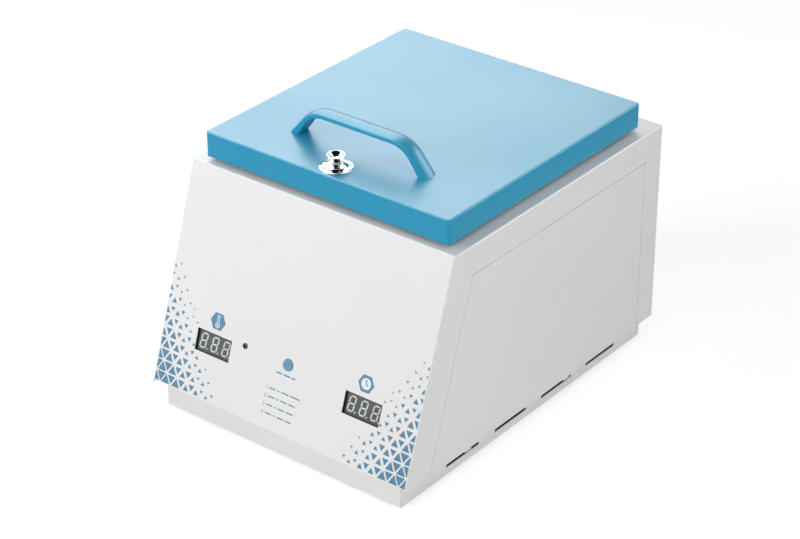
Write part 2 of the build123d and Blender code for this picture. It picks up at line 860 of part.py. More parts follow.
def lid_inner_plate():
    """Stainless pan that closes the lid from below, with an upturned rim."""
    def block(inset, z_low, z_high):
        return box(
            inset - lid_half, lid_half - inset,
            y_lid_front + inset, y_lid_rear - inset, z_low, z_high,
        )

    edge = lid_sheet + lid_plate_clearance
    plate = block(edge, z_lid_plate, z_lid_plate + lid_plate_rim)
    plate = fillet(plate.edges().filter_by(Axis.Z), lid_corner_bend - edge)
    plate = fillet(plate.edges().group_by(Axis.Z)[0], bend_radius)
    plate -= block(edge + sheet, z_lid_plate + sheet, z_lid_plate + 2 * lid_plate_rim)
    plate -= post(0, y_latch, z_lid, z_lid_top, spindle_radius + bar_clearance)
    for x, y in lid_post_places:
        plate -= post(x, y, z_lid, z_lid_top, screw_radius + hole_clearance)
    return plate


def lid_insulation():
    """Mineral wool pad inside the lid, cut away round its fixings."""
    inset = lid_sheet + lid_plate_clearance + sheet + lid_pad_gap
    z_low = z_lid_plate + sheet
    z_high = z_lid_top - lid_sheet
    pad = box(inset - lid_half, lid_half - inset, y_lid_front + inset, y_lid_rear - inset, z_low, z_high)
    pad -= post(0, y_latch, z_low - 1, z_high + 1, sleeve_nut_radius + fixing_room)
    for side in (-1, 1):
        x = side * handle_hole_spacing / 2
        pad -= post(x, y_handle, z_high - lid_pad_pocket, z_high + 1, screw_head_radius + fixing_room)
    for x, y in lid_post_places:
        pad -= post(x, y, z_low - 1, z_high + 1, lid_post_radius + hole_clearance)
    return pad


def lid_posts():
    """Threaded posts between the lid's top and its inner plate."""
    made = []
    for x, y in lid_post_places:
        column = post(x, y, z_lid_plate + sheet, z_lid_top - lid_sheet, lid_post_radius)
        bore = z_lid_plate + sheet + lid_plate_screw_grip + 1
        made.append(column - post(x, y, z_lid, bore, screw_radius + thread_clearance))
    return made


def handle():
    """Bow handle with legs that lean outwards and a crowned outer face."""
    def line(half_length, rise, angle, bend, drop):
        knee = half_length - (rise + drop) * math.tan(math.radians(angle))
        foot = (half_length, -drop)
        return FilletPolyline(
            (-foot[0], foot[1]), (-knee, rise), (knee, rise), foot, radius=bend,
        )

    sunk = handle_trim
    outer_foot = handle_half_length + sunk * math.tan(math.radians(handle_lean))
    inner_foot = handle_foot_inner + sunk * math.tan(math.radians(handle_inner_lean))
    outer = line(outer_foot, handle_rise, handle_lean, handle_bend, sunk)
    inner = line(inner_foot, handle_inner_rise, handle_inner_lean, handle_inner_bend, sunk)
    closing = [Line(outer @ 0, inner @ 0), Line(outer @ 1, inner @ 1)]
    section = make_face(Curve() + [outer, inner, *closing])
    bow = extrude(Plane.XZ * section, handle_width / 2, both=True)
    half = handle_width / 2
    crown = ThreePointArc((-half, -handle_crown), (0, 0), (half, -handle_crown))
    over = handle_trim
    crown_cut = make_face(Curve() + [
        crown,
        Polyline((-half, -handle_crown), (-half - over, -handle_crown), (-half - over, over),
                 (half + over, over), (half + over, -handle_crown), (half, -handle_crown)),
    ])
    path = Plane.XZ * outer
    start = Plane(origin=path @ 0, x_dir=(0, 1, 0), z_dir=path % 0)
    bow -= sweep(start * crown_cut, path=path)
    bow = fillet([edge for edge in bow.edges() if abs(abs(edge.center().Y) - half) < 0.01], handle_edge)
    bow -= box(-2 * half_width, 2 * half_width, -half_width, half_width, -4 * sunk, 0)
    bow = Pos(0, y_handle, z_lid_top) * bow
    for side in (-1, 1):
        x = side * handle_hole_spacing / 2
        bore = z_lid_top + handle_screw_grip
        bow -= post(x, y_handle, z_lid_top - 1, bore, screw_radius + thread_clearance)
    return bow


def turned(points, curve):
    """Body of revolution about Z from an outline of lines with one curved flank."""
    outline = make_face(Curve() + [curve, Polyline(*points)])
    return revolve(Plane.XZ * outline, Axis.Z)


def latch_rosette():
    """Bell-shaped base with a threaded sleeve that passes through the lid's top."""
    flank = ThreePointArc(
        (rosette_radius, rosette_rim),
        (rosette_radius * 0.78, rosette_height * 0.66),
        (rosette_neck, rosette_height),
    )
    bore = spindle_radius + spindle_clearance
    sleeve = -lid_sheet - sleeve_nut_height - fixing_room
    bell = turned(
        [
            (rosette_neck, rosette_height), (bore, rosette_height), (bore, sleeve), (sleeve_radius, sleeve),
            (sleeve_radius, 0), (rosette_radius, 0), (rosette_radius, rosette_rim),
        ],
        flank,
    )
    return Pos(0, y_latch, z_lid_top) * bell


def sleeve_nut():
    """Hexagon nut that clamps the bell from inside the lid."""
    z_seat = z_lid_top - lid_sheet
    nut = extrude(RegularPolygon(sleeve_nut_radius, 6), sleeve_nut_height)
    nut = Pos(0, y_latch, z_seat - sleeve_nut_height) * nut
    return nut - post(0, y_latch, z_lid, z_lid_top, sleeve_radius + thread_clearance)


knob_low = rosette_height + knob_gap
knob_bore_top = knob_height - knob_dish - knob_wall
rim_low = knob_height - knob_edge


def latch_knob():
    """Flared knob with a dished top."""
    flank = ThreePointArc(
        (knob_neck, knob_low),
        (knob_neck + 0.5, knob_low + (knob_height - knob_low) * 0.55),
        (knob_rim_radius, rim_low),
    )
    bore = spindle_radius + thread_clearance
    lip = knob_rim_radius - knob_lip
    bowl = knob_height - knob_dish
    solid = turned(
        [
            (knob_rim_radius, rim_low), (knob_rim_radius, knob_height), (lip, knob_height),
            (lip - knob_bowl, knob_height - knob_dish * 0.7),
            (knob_rim_radius * 0.35, bowl), (0, bowl),
            (0, knob_bore_top), (bore, knob_bore_top), (bore, knob_low), (knob_neck, knob_low),
        ],
        flank,
    )
    return Pos(0, y_latch, z_lid_top) * solid


def latch_spindle():
    """Spindle from the knob down to the latch bar."""
    spindle = post(0, y_latch, z_bar + bar_height, z_lid_top + knob_bore_top, spindle_radius)
    bore = z_bar + bar_height + thread_depth + 1
    return spindle - post(0, y_latch, z_bar, bore, small_screw_radius + thread_clearance)


def latch_bar():
    """Bar under the keeper: in line with the slot it passes, and turned a quarter it holds the lid."""
    bar = Pos(0, y_latch, z_bar) * extrude(SlotOverall(bar_length, bar_width), bar_height)
    return bar - post(0, y_latch, z_bar - 1, z_bar + bar_height + 1, small_screw_radius + thread_clearance)


def latch_keeper():
    """Slotted plate under the housing's top, which the latch bar passes through."""
    half = keeper_length / 2
    plate = box(-half, half, y_latch - keeper_width / 2, y_latch + keeper_width / 2, z_keeper, z_top - sheet)
    slot = vent(bar_length + 2 * keeper_clearance, bar_width + 2 * keeper_clearance, 4 * keeper_sheet)
    return plate - Pos(0, y_latch, z_keeper) * slot


def knuckles(x, fixed):
    """Every other knuckle of a hinge."""
    step = (hinge_length + knuckle_gap) / knuckle_count
    made = []
    for index in range(knuckle_count):
        if (index % 2 == 0) == fixed:
            x_low = x - hinge_length / 2 + index * step
            made.append((x_low, x_low + step - knuckle_gap))
    return made


def hinge_leaf(x, fixed):
    """Butt hinge leaf: the fixed one lies on the housing's top, the other stands on the lid's rear."""
    bore = hinge_pin_radius + (thread_clearance if fixed else hinge_pin_clearance)
    clear = knuckle_radius + hinge_clearance
    half = hinge_length / 2
    if fixed:
        leaf = box(x - half, x + half, y_hinge + clear, y_hinge + leaf_length, z_top, z_top + leaf_thickness)
    else:
        plate = (y_lid_rear, y_lid_rear + leaf_thickness)
        leaf = box(x - half, x + half, *plate, z_hinge + clear, z_hinge + leaf_length)
    for x_low, x_high in knuckles(x, fixed):
        leaf += bar_x(x_low, x_high, y_hinge, z_hinge, knuckle_radius)
        if fixed:
            leaf += box(x_low, x_high, y_hinge, y_hinge + clear, z_top, z_top + leaf_thickness)
        else:
            leaf += box(x_low, x_high, *plate, z_hinge, z_hinge + clear)
    leaf -= bar_x(x - half - 1, x + half + 1, y_hinge, z_hinge, bore)
    for shift in (-1, 1):
        at = x + shift * hinge_screw_spacing / 2
        radius = small_screw_radius + hole_clearance
        if fixed:
            leaf -= post(at, y_hinge + hinge_screw_reach, z_top - 1, z_top + 2 * leaf_thickness, radius)
        else:
            z = z_hinge + hinge_screw_reach
            leaf -= bar_y(at, y_lid_rear - 1, y_lid_rear + 2 * leaf_thickness, z, radius)
    return leaf


def hinge_screws(on_lid):
    """Screws of both hinges, on the lid or on the housing."""
    made = []
    shank = (hinge_screw_length, small_screw_radius)
    for x in hinge_screw_places:
        screw = screw_down(0, 0, 0, *shank, small_head_radius, hinge_screw_head)
        if on_lid:
            place = Pos(x, y_lid_rear + leaf_thickness, z_hinge + hinge_screw_reach) * Rot(-90, 0, 0)
        else:
            place = Pos(x, y_hinge + hinge_screw_reach, z_top + leaf_thickness)
        made.append(place * screw)
    return made


def display_module(x):
    """Three-digit display module."""
    return panel_block(x, display_level, display_width, display_height, display_recess, board_depth)


def display_segments(x):
    """Segments and points of three digits, standing a hair above the module's face."""
    half_stroke = segment_width / 2
    made = []

    def add(points, origin_x):
        slanted = [
            (origin_x + px + py * math.tan(math.radians(digit_slant)), py) for px, py in points
        ]
        face = on_panel(x, display_level, display_recess) * Polygon(*slanted, align=None)
        normal = tuple(front_panel.z_dir)
        made.append(extrude(face, segment_thickness, dir=normal))

    def bar(cx, cy, length, upright, origin_x):
        half = length / 2 - segment_gap
        cut = half - half_stroke
        flat = [
            (-half, 0), (-cut, half_stroke), (cut, half_stroke),
            (half, 0), (cut, -half_stroke), (-cut, -half_stroke),
        ]
        if upright:
            flat = [(py, px) for px, py in reversed(flat)]
        add([(cx + px, cy + py) for px, py in flat], origin_x)

    wide = digit_width - segment_width
    tall = (digit_height - segment_width) / 2
    for index in (-1, 0, 1):
        origin_x = index * digit_pitch + digit_shift
        for level in (-tall, 0, tall):
            bar(0, level, wide, False, origin_x)
        for side in (-1, 1):
            for level in (-tall / 2, tall / 2):
                bar(side * wide / 2, level, tall, True, origin_x)
        point_x = digit_width / 2 + point_gap
        turns = [math.radians(angle) for angle in range(0, 360, 45)]
        point = [(point_x + point_radius * math.cos(a), -tall + point_radius * math.sin(a)) for a in turns]
        add(point, origin_x)
    return made


def control_board():
    """Circuit board that lies parallel to the front panel."""
    level = board_low + board_height / 2
    board = panel_block(0, level, board_width, board_height, board_depth, board_depth + board_thickness)
    for x, at in standoff_places:
        radius = small_screw_radius + hole_clearance
        board -= panel_disc(x, at, radius, board_depth - 1, board_depth + 2 * board_thickness)
    return board


def board_standoffs():
    """Threaded spacers between the front panel and the control board."""
    made = []
    for x, level in standoff_places:
        spacer = panel_disc(x, level, standoff_radius, sheet, board_depth)
        bore = small_screw_radius + thread_clearance
        made.append(spacer - panel_disc(x, level, bore, board_depth - thread_depth, board_depth + 1))
    return made


def board_screws():
    """Screws that hold the control board, from behind."""
    made = []
    seat = board_depth + board_thickness
    tip = board_depth - board_screw_grip
    for x, level in standoff_places:
        shank = panel_disc(x, level, small_screw_radius, tip, seat + small_head / 2)
        made.append(shank + panel_disc(x, level, small_head_radius, seat, seat + small_head))
    return made


def status_led():
    """Indicator lamp behind its hole, on two leads."""
    collar = led_tip + led_length
    dome = panel_disc(led_offset, led_level, led_radius, led_tip, collar)
    dome = fillet(dome.edges().sort_by(Axis((0, 0, 0), front_panel.z_dir))[-1], led_radius * 0.8)
    rim = led_radius + led_collar
    lamp = dome + panel_disc(led_offset, led_level, rim, led_collar_depth, collar)
    for side in (-1, 1):
        x = led_offset + side * led_lead_offset
        lamp += panel_block(x, led_level, led_lead, led_lead, collar, board_depth)
    return lamp


def led_bezel():
    """Snap-in ring around the lamp: a rim on the panel and a sleeve that the lamp sits in."""
    rim = panel_disc(led_offset, led_level, led_rim_radius, -led_rim_height, 0)
    rim = fillet(rim.edges().sort_by(Axis((0, 0, 0), front_panel.z_dir))[-1], led_rim_height * 0.6)
    bezel = rim + panel_disc(led_offset, led_level, led_sleeve_radius, 0, led_collar_depth)
    bore = led_radius + thread_clearance
    return bezel - panel_disc(led_offset, led_level, bore, -2 * led_rim_height, led_collar_depth + 1)


def button_switch():
    """Tactile switch on the control board, behind the button."""
    face = board_depth - switch_height
    body = panel_block(0, button_level, switch_width, switch_width, face, board_depth)
    return body


stem_end = board_depth - switch_height - switch_gap - button_travel


def program_button():
    """Push button with a lip behind the panel and a stem towards its switch."""
    lip_depth = sheet + switch_gap
    cap = panel_disc(0, button_level, button_radius, -button_proud, lip_depth + button_lip_height)
    cap = fillet(cap.edges().sort_by(Axis((0, 0, 0), front_panel.z_dir))[-1], button_round)
    cap += panel_disc(0, button_level, button_radius + button_lip, lip_depth, lip_depth + button_lip_height)
    return cap + panel_disc(0, button_level, button_stem_radius, 0, stem_end)


def chamfered_block(x, z, width, height, corner, y_low, y_high):
    """Block on the rear panel with its two upper corners cut off."""
    half = width / 2
    low = -height / 2
    high = height / 2
    points = [
        (-half, low), (half, low), (half, high - corner),
        (half - corner, high), (corner - half, high), (-half, high - corner),
    ]
    face = Pos(x, y_low, z) * (Plane.XZ * Polygon(*points, align=None))
    return extrude(face, y_high - y_low, dir=(0, 1, 0))


def power_inlet():
    """Appliance inlet with a flange on the rear panel and a deep socket."""
    flange = box(
        inlet_offset - inlet_flange_width / 2, inlet_offset + inlet_flange_width / 2,
        y_rear, y_rear + inlet_flange,
        z_inlet - inlet_flange_height / 2, z_inlet + inlet_flange_height / 2,
    )
    flange = fillet(flange.edges().filter_by(Axis.Y), inlet_flange_height / 3)
    corner = inlet_chamfer
    body = chamfered_block(
        inlet_offset, z_inlet, inlet_body_width, inlet_body_height, corner, y_rear - inlet_body_depth, y_rear,
    )
    socket = chamfered_block(
        inlet_offset, z_inlet, inlet_body_width - 2 * inlet_wall, inlet_body_height - 2 * inlet_wall,
        corner - inlet_wall / 2, y_rear + inlet_flange - inlet_socket_depth, y_rear + inlet_flange + 1,
    )
    inlet = flange + body - socket
    for side in (-1, 1):
        x = inlet_offset + side * inlet_hole_spacing / 2
        inlet -= bar_y(x, y_rear - 1, y_rear + inlet_flange + 1, z_inlet, small_screw_radius + hole_clearance)
    for dx, dz in inlet_pin_places:
        inlet -= inlet_pin(dx, dz, thread_clearance)
    return inlet


inlet_pin_places = [
    (-inlet_pin_pitch / 2, -inlet_pin_drop),
    (inlet_pin_pitch / 2, -inlet_pin_drop),
    (0.0, -inlet_pin_drop + inlet_earth_rise),
]


def inlet_pin(dx, dz, grow):
    """Flat contact blade, with its solder tab behind the inlet."""
    x = inlet_offset + dx
    z = z_inlet + dz
    return box(
        x - inlet_pin_width / 2 - grow, x + inlet_pin_width / 2 + grow,
        y_rear - inlet_body_depth - inlet_pin_tail, y_rear - inlet_pin_setback,
        z - inlet_pin_height / 2 - grow, z + inlet_pin_height / 2 + grow,
    )


def inlet_screws():
    """Screws that hold the inlet's flange."""
    made = []
    for side in (-1, 1):
        x = inlet_offset + side * inlet_hole_spacing / 2
        screw = screw_down(0, 0, 0, inlet_screw_length, small_screw_radius, small_head_radius, low_head)
        made.append(Pos(x, y_rear + inlet_flange, z_inlet) * Rot(-90, 0, 0) * screw)
    return made


y_rocker = y_rear - rocker_axis_depth


def switch_housing():
    """Frame and body of the mains switch, with a well for the rocker."""
    frame = box(
        rocker_offset - rocker_frame_width / 2, rocker_offset + rocker_frame_width / 2,
        y_rear, y_rear + rocker_frame,
        z_rocker - rocker_frame_height / 2, z_rocker + rocker_frame_height / 2,
    )
    frame = fillet(frame.edges().filter_by(Axis.Y), rocker_frame / 2)
    body = box(
        rocker_offset - rocker_body_width / 2, rocker_offset + rocker_body_width / 2,
        y_rear - rocker_body_depth, y_rear,
        z_rocker - rocker_body_height / 2, z_rocker + rocker_body_height / 2,
    )
    well = box(
        rocker_offset - rocker_well_width / 2, rocker_offset + rocker_well_width / 2,
        y_rear - rocker_body_depth + rocker_floor, y_rear + rocker_frame + 1,
        z_rocker - rocker_well_height / 2, z_rocker + rocker_well_height / 2,
    )
    housing = frame + body - well
    pivot = rocker_width / 2 + rocker_pivot_length + rocker_pivot_clearance
    radius = rocker_pivot_radius + rocker_pivot_clearance
    housing -= bar_x(rocker_offset - pivot, rocker_offset + pivot, y_rocker, z_rocker, radius)
    tab_width, tab_thickness, tab_length = tab_size
    y_high = y_rear - rocker_body_depth
    for side in (-1, 1):
        z = z_rocker + side * rocker_body_height / 4
        housing += box(
            rocker_offset - tab_width / 2, rocker_offset + tab_width / 2,
            y_high - tab_length, y_high,
            z - tab_thickness / 2, z + tab_thickness / 2,
        )
    return housing


def switch_rocker():
    """Rocker with a dished face, at rest with its upper end out."""
    half = rocker_half
    points = [
        (-half, rocker_crest), (0, rocker_valley), (half, rocker_crest), (half, rocker_shoulder),
        (rocker_keel_half, -rocker_keel), (-rocker_keel_half, -rocker_keel), (-half, rocker_shoulder),
    ]
    turned_points = [
        (d * tilt_cos + u * tilt_sin, u * tilt_cos - d * tilt_sin) for u, d in points
    ]
    placed = [(y_rocker + d, z_rocker + u) for d, u in turned_points]
    rocker = prism_x(placed, rocker_offset - rocker_width / 2, rocker_offset + rocker_width / 2)
    reach = rocker_width / 2 + rocker_pivot_length
    pivots = (rocker_offset - reach, rocker_offset + reach)
    return rocker + bar_x(*pivots, y_rocker, z_rocker, rocker_pivot_radius)


z_power = z_tray_floor + power_spacer


def power_board():
    """Power circuit board on spacers over the plinth's floor."""
    board = box(
        power_x - power_width / 2, power_x + power_width / 2,
        power_y - power_depth / 2, power_y + power_depth / 2,
        z_power, z_power + board_thickness,
    )
    for x, y in power_hole_places:
        board -= post(x, y, z_power - 1, z_power + 2 * board_thickness, small_screw_radius + hole_clearance)
    return board


def power_spacers():
    """Spacers under the power board."""
    made = []
    for x, y in power_hole_places:
        spacer = post(x, y, z_tray_floor, z_power, power_spacer_radius)
        made.append(spacer - post(x, y, z_plinth, z_power + 1, small_screw_radius + thread_clearance))
    return made


def power_screws():
    """Screws through the power board into its spacers."""
    seat = z_power + board_thickness
    length = power_spacer + board_thickness - 1
    return [
        screw_down(x, y, seat, length, small_screw_radius, small_head_radius, small_head)
        for x, y in power_hole_places
    ]


def on_power_board(x, y, size):
    """Block standing on the power board."""
    z_seat = z_power + board_thickness
    return box(x - size[0] / 2, x + size[0] / 2, y - size[1] / 2, y + size[1] / 2, z_seat, z_seat + size[2])


def terminal_block():
    """Screw terminal strip along the board's rear edge."""
    y = power_y + power_depth / 2 - terminal_size[1]
    strip = on_power_board(power_x, y, terminal_size)
    step = terminal_size[0] / terminal_ways
    z_high = z_power + board_thickness + terminal_size[2]
    for index in range(terminal_ways):
        x = power_x + (index - (terminal_ways - 1) / 2) * step
        strip -= post(x, y, z_high - screwdriver_hole, z_high + 1, step * 0.3)
        z_gate = z_high - screwdriver_hole - wire_gate[2] - 0.5
        strip -= box(
            x - wire_gate[0] / 2, x + wire_gate[0] / 2,
            y + terminal_size[1] / 2 - wire_gate[1], y + terminal_size[1],
            z_gate, z_gate + wire_gate[2],
        )
    return strip


def transformer():
    """Small mains transformer: laminated core with its winding."""
    core = on_power_board(
        power_x - power_width / 4, power_y - power_depth / 6,
        (transformer_size[0], transformer_size[1] * 0.5, transformer_size[2]),
    )
    coil = on_power_board(
        power_x - power_width / 4, power_y - power_depth / 6,
        (transformer_size[0] * 0.6, transformer_size[1], transformer_size[2] * 0.8),
    )
    return core + fillet(coil.edges().filter_by(Axis.Z), 3)


# Housing
keep("outer_shell", outer_shell())
keep("side_panel_left", side_panel(-1))
keep("side_panel_right", side_panel(1))
keep("base_tray", base_tray())
keep("rubber_feet", *feet())
keep("foot_screws", *[
    screw_up(
        x, y, foot_height - foot_web, foot_web + plinth_sheet + foot_screw_grip,
        screw_radius, screw_head_radius, low_head,
    )
    for x, y in foot_places
])
keep("base_screws", *[
    screw_up(
        x, y, z_body - plinth_sheet, plinth_sheet + sheet + base_screw_grip,
        screw_radius, screw_head_radius, screw_head,
    )
    for x, y in base_screw_places
])

# Chamber and heating
keep("chamber", chamber())
keep("heating_element", heating_element())
keep("insulation_jacket", insulation_jacket())
keep("insulation_case", insulation_case())
keep("temperature_probe", temperature_probe())
keep("probe_gland", probe_gland())
keep("thermal_cutout", thermal_cutout())
keep("instrument_tray", instrument_tray())

# Lid
keep("lid_shell", lid_shell())
keep("lid_inner_plate", lid_inner_plate())
keep("lid_insulation", lid_insulation())
keep("lid_posts", *lid_posts())
keep("lid_plate_screws", *[
    screw_up(x, y, z_lid_plate, sheet + lid_plate_screw_grip, screw_radius, screw_head_radius, flat_head)
    for x, y in lid_post_places
])
keep("lid_gasket", ring(
    chamber_half + seal_inset, y_chamber_front - seal_inset, y_chamber_rear + seal_inset,
    chamber_corner + seal_inset,
    seal_width, z_rim + seal_clearance, z_lid_plate,
))
keep("handle", handle())
keep("handle_screws", *[
    screw_up(
        side * handle_hole_spacing / 2, y_handle, z_lid_top - lid_sheet,
        lid_sheet + handle_screw_grip - hole_clearance, screw_radius, screw_head_radius, screw_head,
    )
    for side in (-1, 1)
])

# Latch
keep("latch_rosette", latch_rosette())
keep("sleeve_nut", sleeve_nut())
keep("latch_knob", latch_knob())
keep("latch_spindle", latch_spindle())
keep("latch_bar", latch_bar())
keep("latch_bar_screw", screw_up(
    0, y_latch, z_bar, bar_height + thread_depth, small_screw_radius, small_head_radius, small_head,
))
keep("latch_keeper", latch_keeper())

# Hinges
for side, name in ((-1, "left"), (1, "right")):
    x = side * hinge_offset
    keep("hinge_fixed_leaf_" + name, hinge_leaf(x, True))
    keep("hinge_lid_leaf_" + name, hinge_leaf(x, False))
    ends = (x - hinge_length / 2, x + hinge_length / 2)
    keep("hinge_pin_" + name, bar_x(*ends, y_hinge, z_hinge, hinge_pin_radius))
keep("hinge_body_screws", *hinge_screws(False))
keep("hinge_lid_screws", *hinge_screws(True))

# Controls
keep("control_board", control_board())
keep("board_standoffs", *board_standoffs())
keep("board_screws", *board_screws())
keep("display_left", display_module(-display_offset))
keep("display_right", display_module(display_offset))
keep("display_segments_left", *display_segments(-display_offset))
keep("display_segments_right", *display_segments(display_offset))
keep("status_led", status_led())
keep("led_bezel", led_bezel())
keep("button_switch", button_switch())
keep("program_button", program_button())

# Mains side
keep("power_inlet", power_inlet())
keep("inlet_pins", *[inlet_pin(dx, dz, 0) for dx, dz in inlet_pin_places])
keep("inlet_screws", *inlet_screws())
keep("switch_housing", switch_housing())
keep("switch_rocker", switch_rocker())
keep("power_board", power_board())
keep("power_spacers", *power_spacers())
keep("power_screws", *power_screws())
keep("heater_relay", on_power_board(power_x + power_width / 4, power_y - power_depth / 6, relay_size))
keep("transformer", transformer())
keep("terminal_block", terminal_block())

os.makedirs("parts", exist_ok=True)
for name, shape in nodes.items():
    export_step(shape, f"parts/{name}.step")
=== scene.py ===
import json
import math

import bmesh
import bpy
from mathutils import Matrix, Vector
from mathutils.bvhtree import BVHTree


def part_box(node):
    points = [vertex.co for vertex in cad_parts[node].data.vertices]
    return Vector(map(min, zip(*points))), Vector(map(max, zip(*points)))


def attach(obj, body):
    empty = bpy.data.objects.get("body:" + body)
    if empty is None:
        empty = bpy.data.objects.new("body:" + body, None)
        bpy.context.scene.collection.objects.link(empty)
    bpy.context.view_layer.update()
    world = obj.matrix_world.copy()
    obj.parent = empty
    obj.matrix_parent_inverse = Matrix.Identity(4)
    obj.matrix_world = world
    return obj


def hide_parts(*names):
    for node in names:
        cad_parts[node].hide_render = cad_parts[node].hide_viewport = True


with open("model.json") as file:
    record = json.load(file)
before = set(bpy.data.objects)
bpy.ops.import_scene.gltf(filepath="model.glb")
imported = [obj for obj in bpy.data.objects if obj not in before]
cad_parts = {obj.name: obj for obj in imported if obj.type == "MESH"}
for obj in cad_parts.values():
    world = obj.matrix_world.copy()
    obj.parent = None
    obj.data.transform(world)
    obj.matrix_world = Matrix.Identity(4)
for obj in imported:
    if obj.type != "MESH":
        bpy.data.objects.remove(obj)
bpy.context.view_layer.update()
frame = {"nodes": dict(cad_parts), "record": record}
nodes = frame["nodes"]

# Places are in metres, with small sizes written in millimetres and multiplied by MM.
MM = 0.001

# The housing, as built
BODY_DEPTH = 0.365
BODY_WIDTH = 0.280
FRONT_LEAN = 0.0638

# The camera, at the photograph's viewing angle
CAMERA_PLACE = (1.1524, -1.4813, 1.1657)
CAMERA_AIM = (-0.5376, 0.6846, -0.4923)
CAMERA_LENS = 110.54

# Light that the floor and the world give off
FLOOR_GLOW = 0.56
WORLD_LIGHT = 0.33

# Paint and print, in linear light
WHITE_PAINT = (0.81, 0.81, 0.81)
BLUE_PAINT = (0.022, 0.330, 0.535)
PRINT_BLUE = (0.064, 0.218, 0.365)
PRINT_WHITE = (0.80, 0.83, 0.86)
# Painted shade: near black on the inner faces of the plinth's pan, for the dark inside of the housing
PAN_INSIDE_SHADE = (0.02, 0.02, 0.02)
CARD_BLACK = (0.01, 0.01, 0.012)
FLOOR_PAPER = (0.80, 0.80, 0.80)

# How far in from the outer faces of the plinth's pan its white coat reaches; deeper faces get painted shade
PLINTH_SHADE_INSET = 0.0008

# The range in which a noise texture's value mostly lies
TEXTURE_LOW = 0.3
TEXTURE_HIGH = 0.7


def surface(name, colour, roughness, metallic=0.0, **sockets):
    """New material, with its plain values on the shader's own sockets."""
    material = bpy.data.materials.new(name)
    material.use_nodes = True
    inputs = material.node_tree.nodes["Principled BSDF"].inputs
    inputs["Base Color"].default_value = (*colour, 1.0)
    inputs["Roughness"].default_value = roughness
    inputs["Metallic"].default_value = metallic
    for socket, value in sockets.items():
        inputs[socket.replace("_", " ")].default_value = value
    return material


def texture(material, kind, scale, stretch=(1.0, 1.0, 1.0), **settings):
    """Texture in the object's own space, so that it stays on the piece as the piece moves."""
    tree = material.node_tree
    place = tree.nodes.new("ShaderNodeTexCoord")
    stretching = tree.nodes.new("ShaderNodeMapping")
    stretching.inputs["Scale"].default_value = stretch
    node = tree.nodes.new(kind)
    node.inputs["Scale"].default_value = scale
    for key, value in settings.items():
        if key in node.inputs:
            node.inputs[key].default_value = value
        else:
            setattr(node, key, value)
    tree.links.new(place.outputs["Object"], stretching.inputs["Vector"])
    tree.links.new(stretching.outputs["Vector"], node.inputs["Vector"])
    return node


def vary_colour(material, source, dark, light):
    """Colour that wanders between two near shades."""
    tree = material.node_tree
    ramp = tree.nodes.new("ShaderNodeValToRGB")
    ramp.color_ramp.elements[0].position = TEXTURE_LOW
    ramp.color_ramp.elements[0].color = (*dark, 1.0)
    ramp.color_ramp.elements[1].position = TEXTURE_HIGH
    ramp.color_ramp.elements[1].color = (*light, 1.0)
    tree.links.new(source, ramp.inputs["Fac"])
    tree.links.new(ramp.outputs["Color"], tree.nodes["Principled BSDF"].inputs["Base Color"])


def vary_roughness(material, source, low, high):
    """Roughness that wanders between two values."""
    tree = material.node_tree
    spread = tree.nodes.new("ShaderNodeMapRange")
    spread.inputs["From Min"].default_value = TEXTURE_LOW
    spread.inputs["From Max"].default_value = TEXTURE_HIGH
    spread.inputs["To Min"].default_value = low
    spread.inputs["To Max"].default_value = high
    tree.links.new(source, spread.inputs["Value"])
    tree.links.new(spread.outputs["Result"], tree.nodes["Principled BSDF"].inputs["Roughness"])


def add_bump(material, source, depth):
    """Small relief, with its depth in metres. A second call adds to the first."""
    tree = material.node_tree
    normal = tree.nodes["Principled BSDF"].inputs["Normal"]
    bump = tree.nodes.new("ShaderNodeBump")
    bump.inputs["Distance"].default_value = depth
    bump.inputs["Strength"].default_value = 1.0
    if normal.is_linked:
        tree.links.new(normal.links[0].from_socket, bump.inputs["Normal"])
    tree.links.new(source, bump.inputs["Height"])
    tree.links.new(bump.outputs["Normal"], normal)


def shade(colour, share):
    """A lighter or darker tone of a colour."""
    return tuple(min(1.0, channel * share) for channel in colour)


def powder_coat(name, colour, roughness, **sockets):
    """Baked powder paint: a satin film with a fine orange peel."""
    material = surface(name, colour, roughness, **sockets)
    cloud = texture(material, "ShaderNodeTexNoise", 11.0, Detail=3.0)
    peel = texture(material, "ShaderNodeTexNoise", 850.0, Detail=2.0)
    grit = texture(material, "ShaderNodeTexNoise", 2600.0, Detail=1.0)
    vary_colour(material, cloud.outputs["Fac"], shade(colour, 0.985), shade(colour, 1.012))
    vary_roughness(material, cloud.outputs["Fac"], roughness - 0.02, roughness + 0.03)
    add_bump(material, peel.outputs["Fac"], 0.020 * MM)
    add_bump(material, grit.outputs["Fac"], 0.006 * MM)
    return material


def calculate(tree, operation, first, second=None):
    """Math node. Each input is a socket to link or a plain number."""
    node = tree.nodes.new("ShaderNodeMath")
    node.operation = operation
    for socket, value in zip(node.inputs, (first, second)):
        if isinstance(value, bpy.types.NodeSocket):
            tree.links.new(value, socket)
        elif value is not None:
            socket.default_value = value
    return node.outputs["Value"]


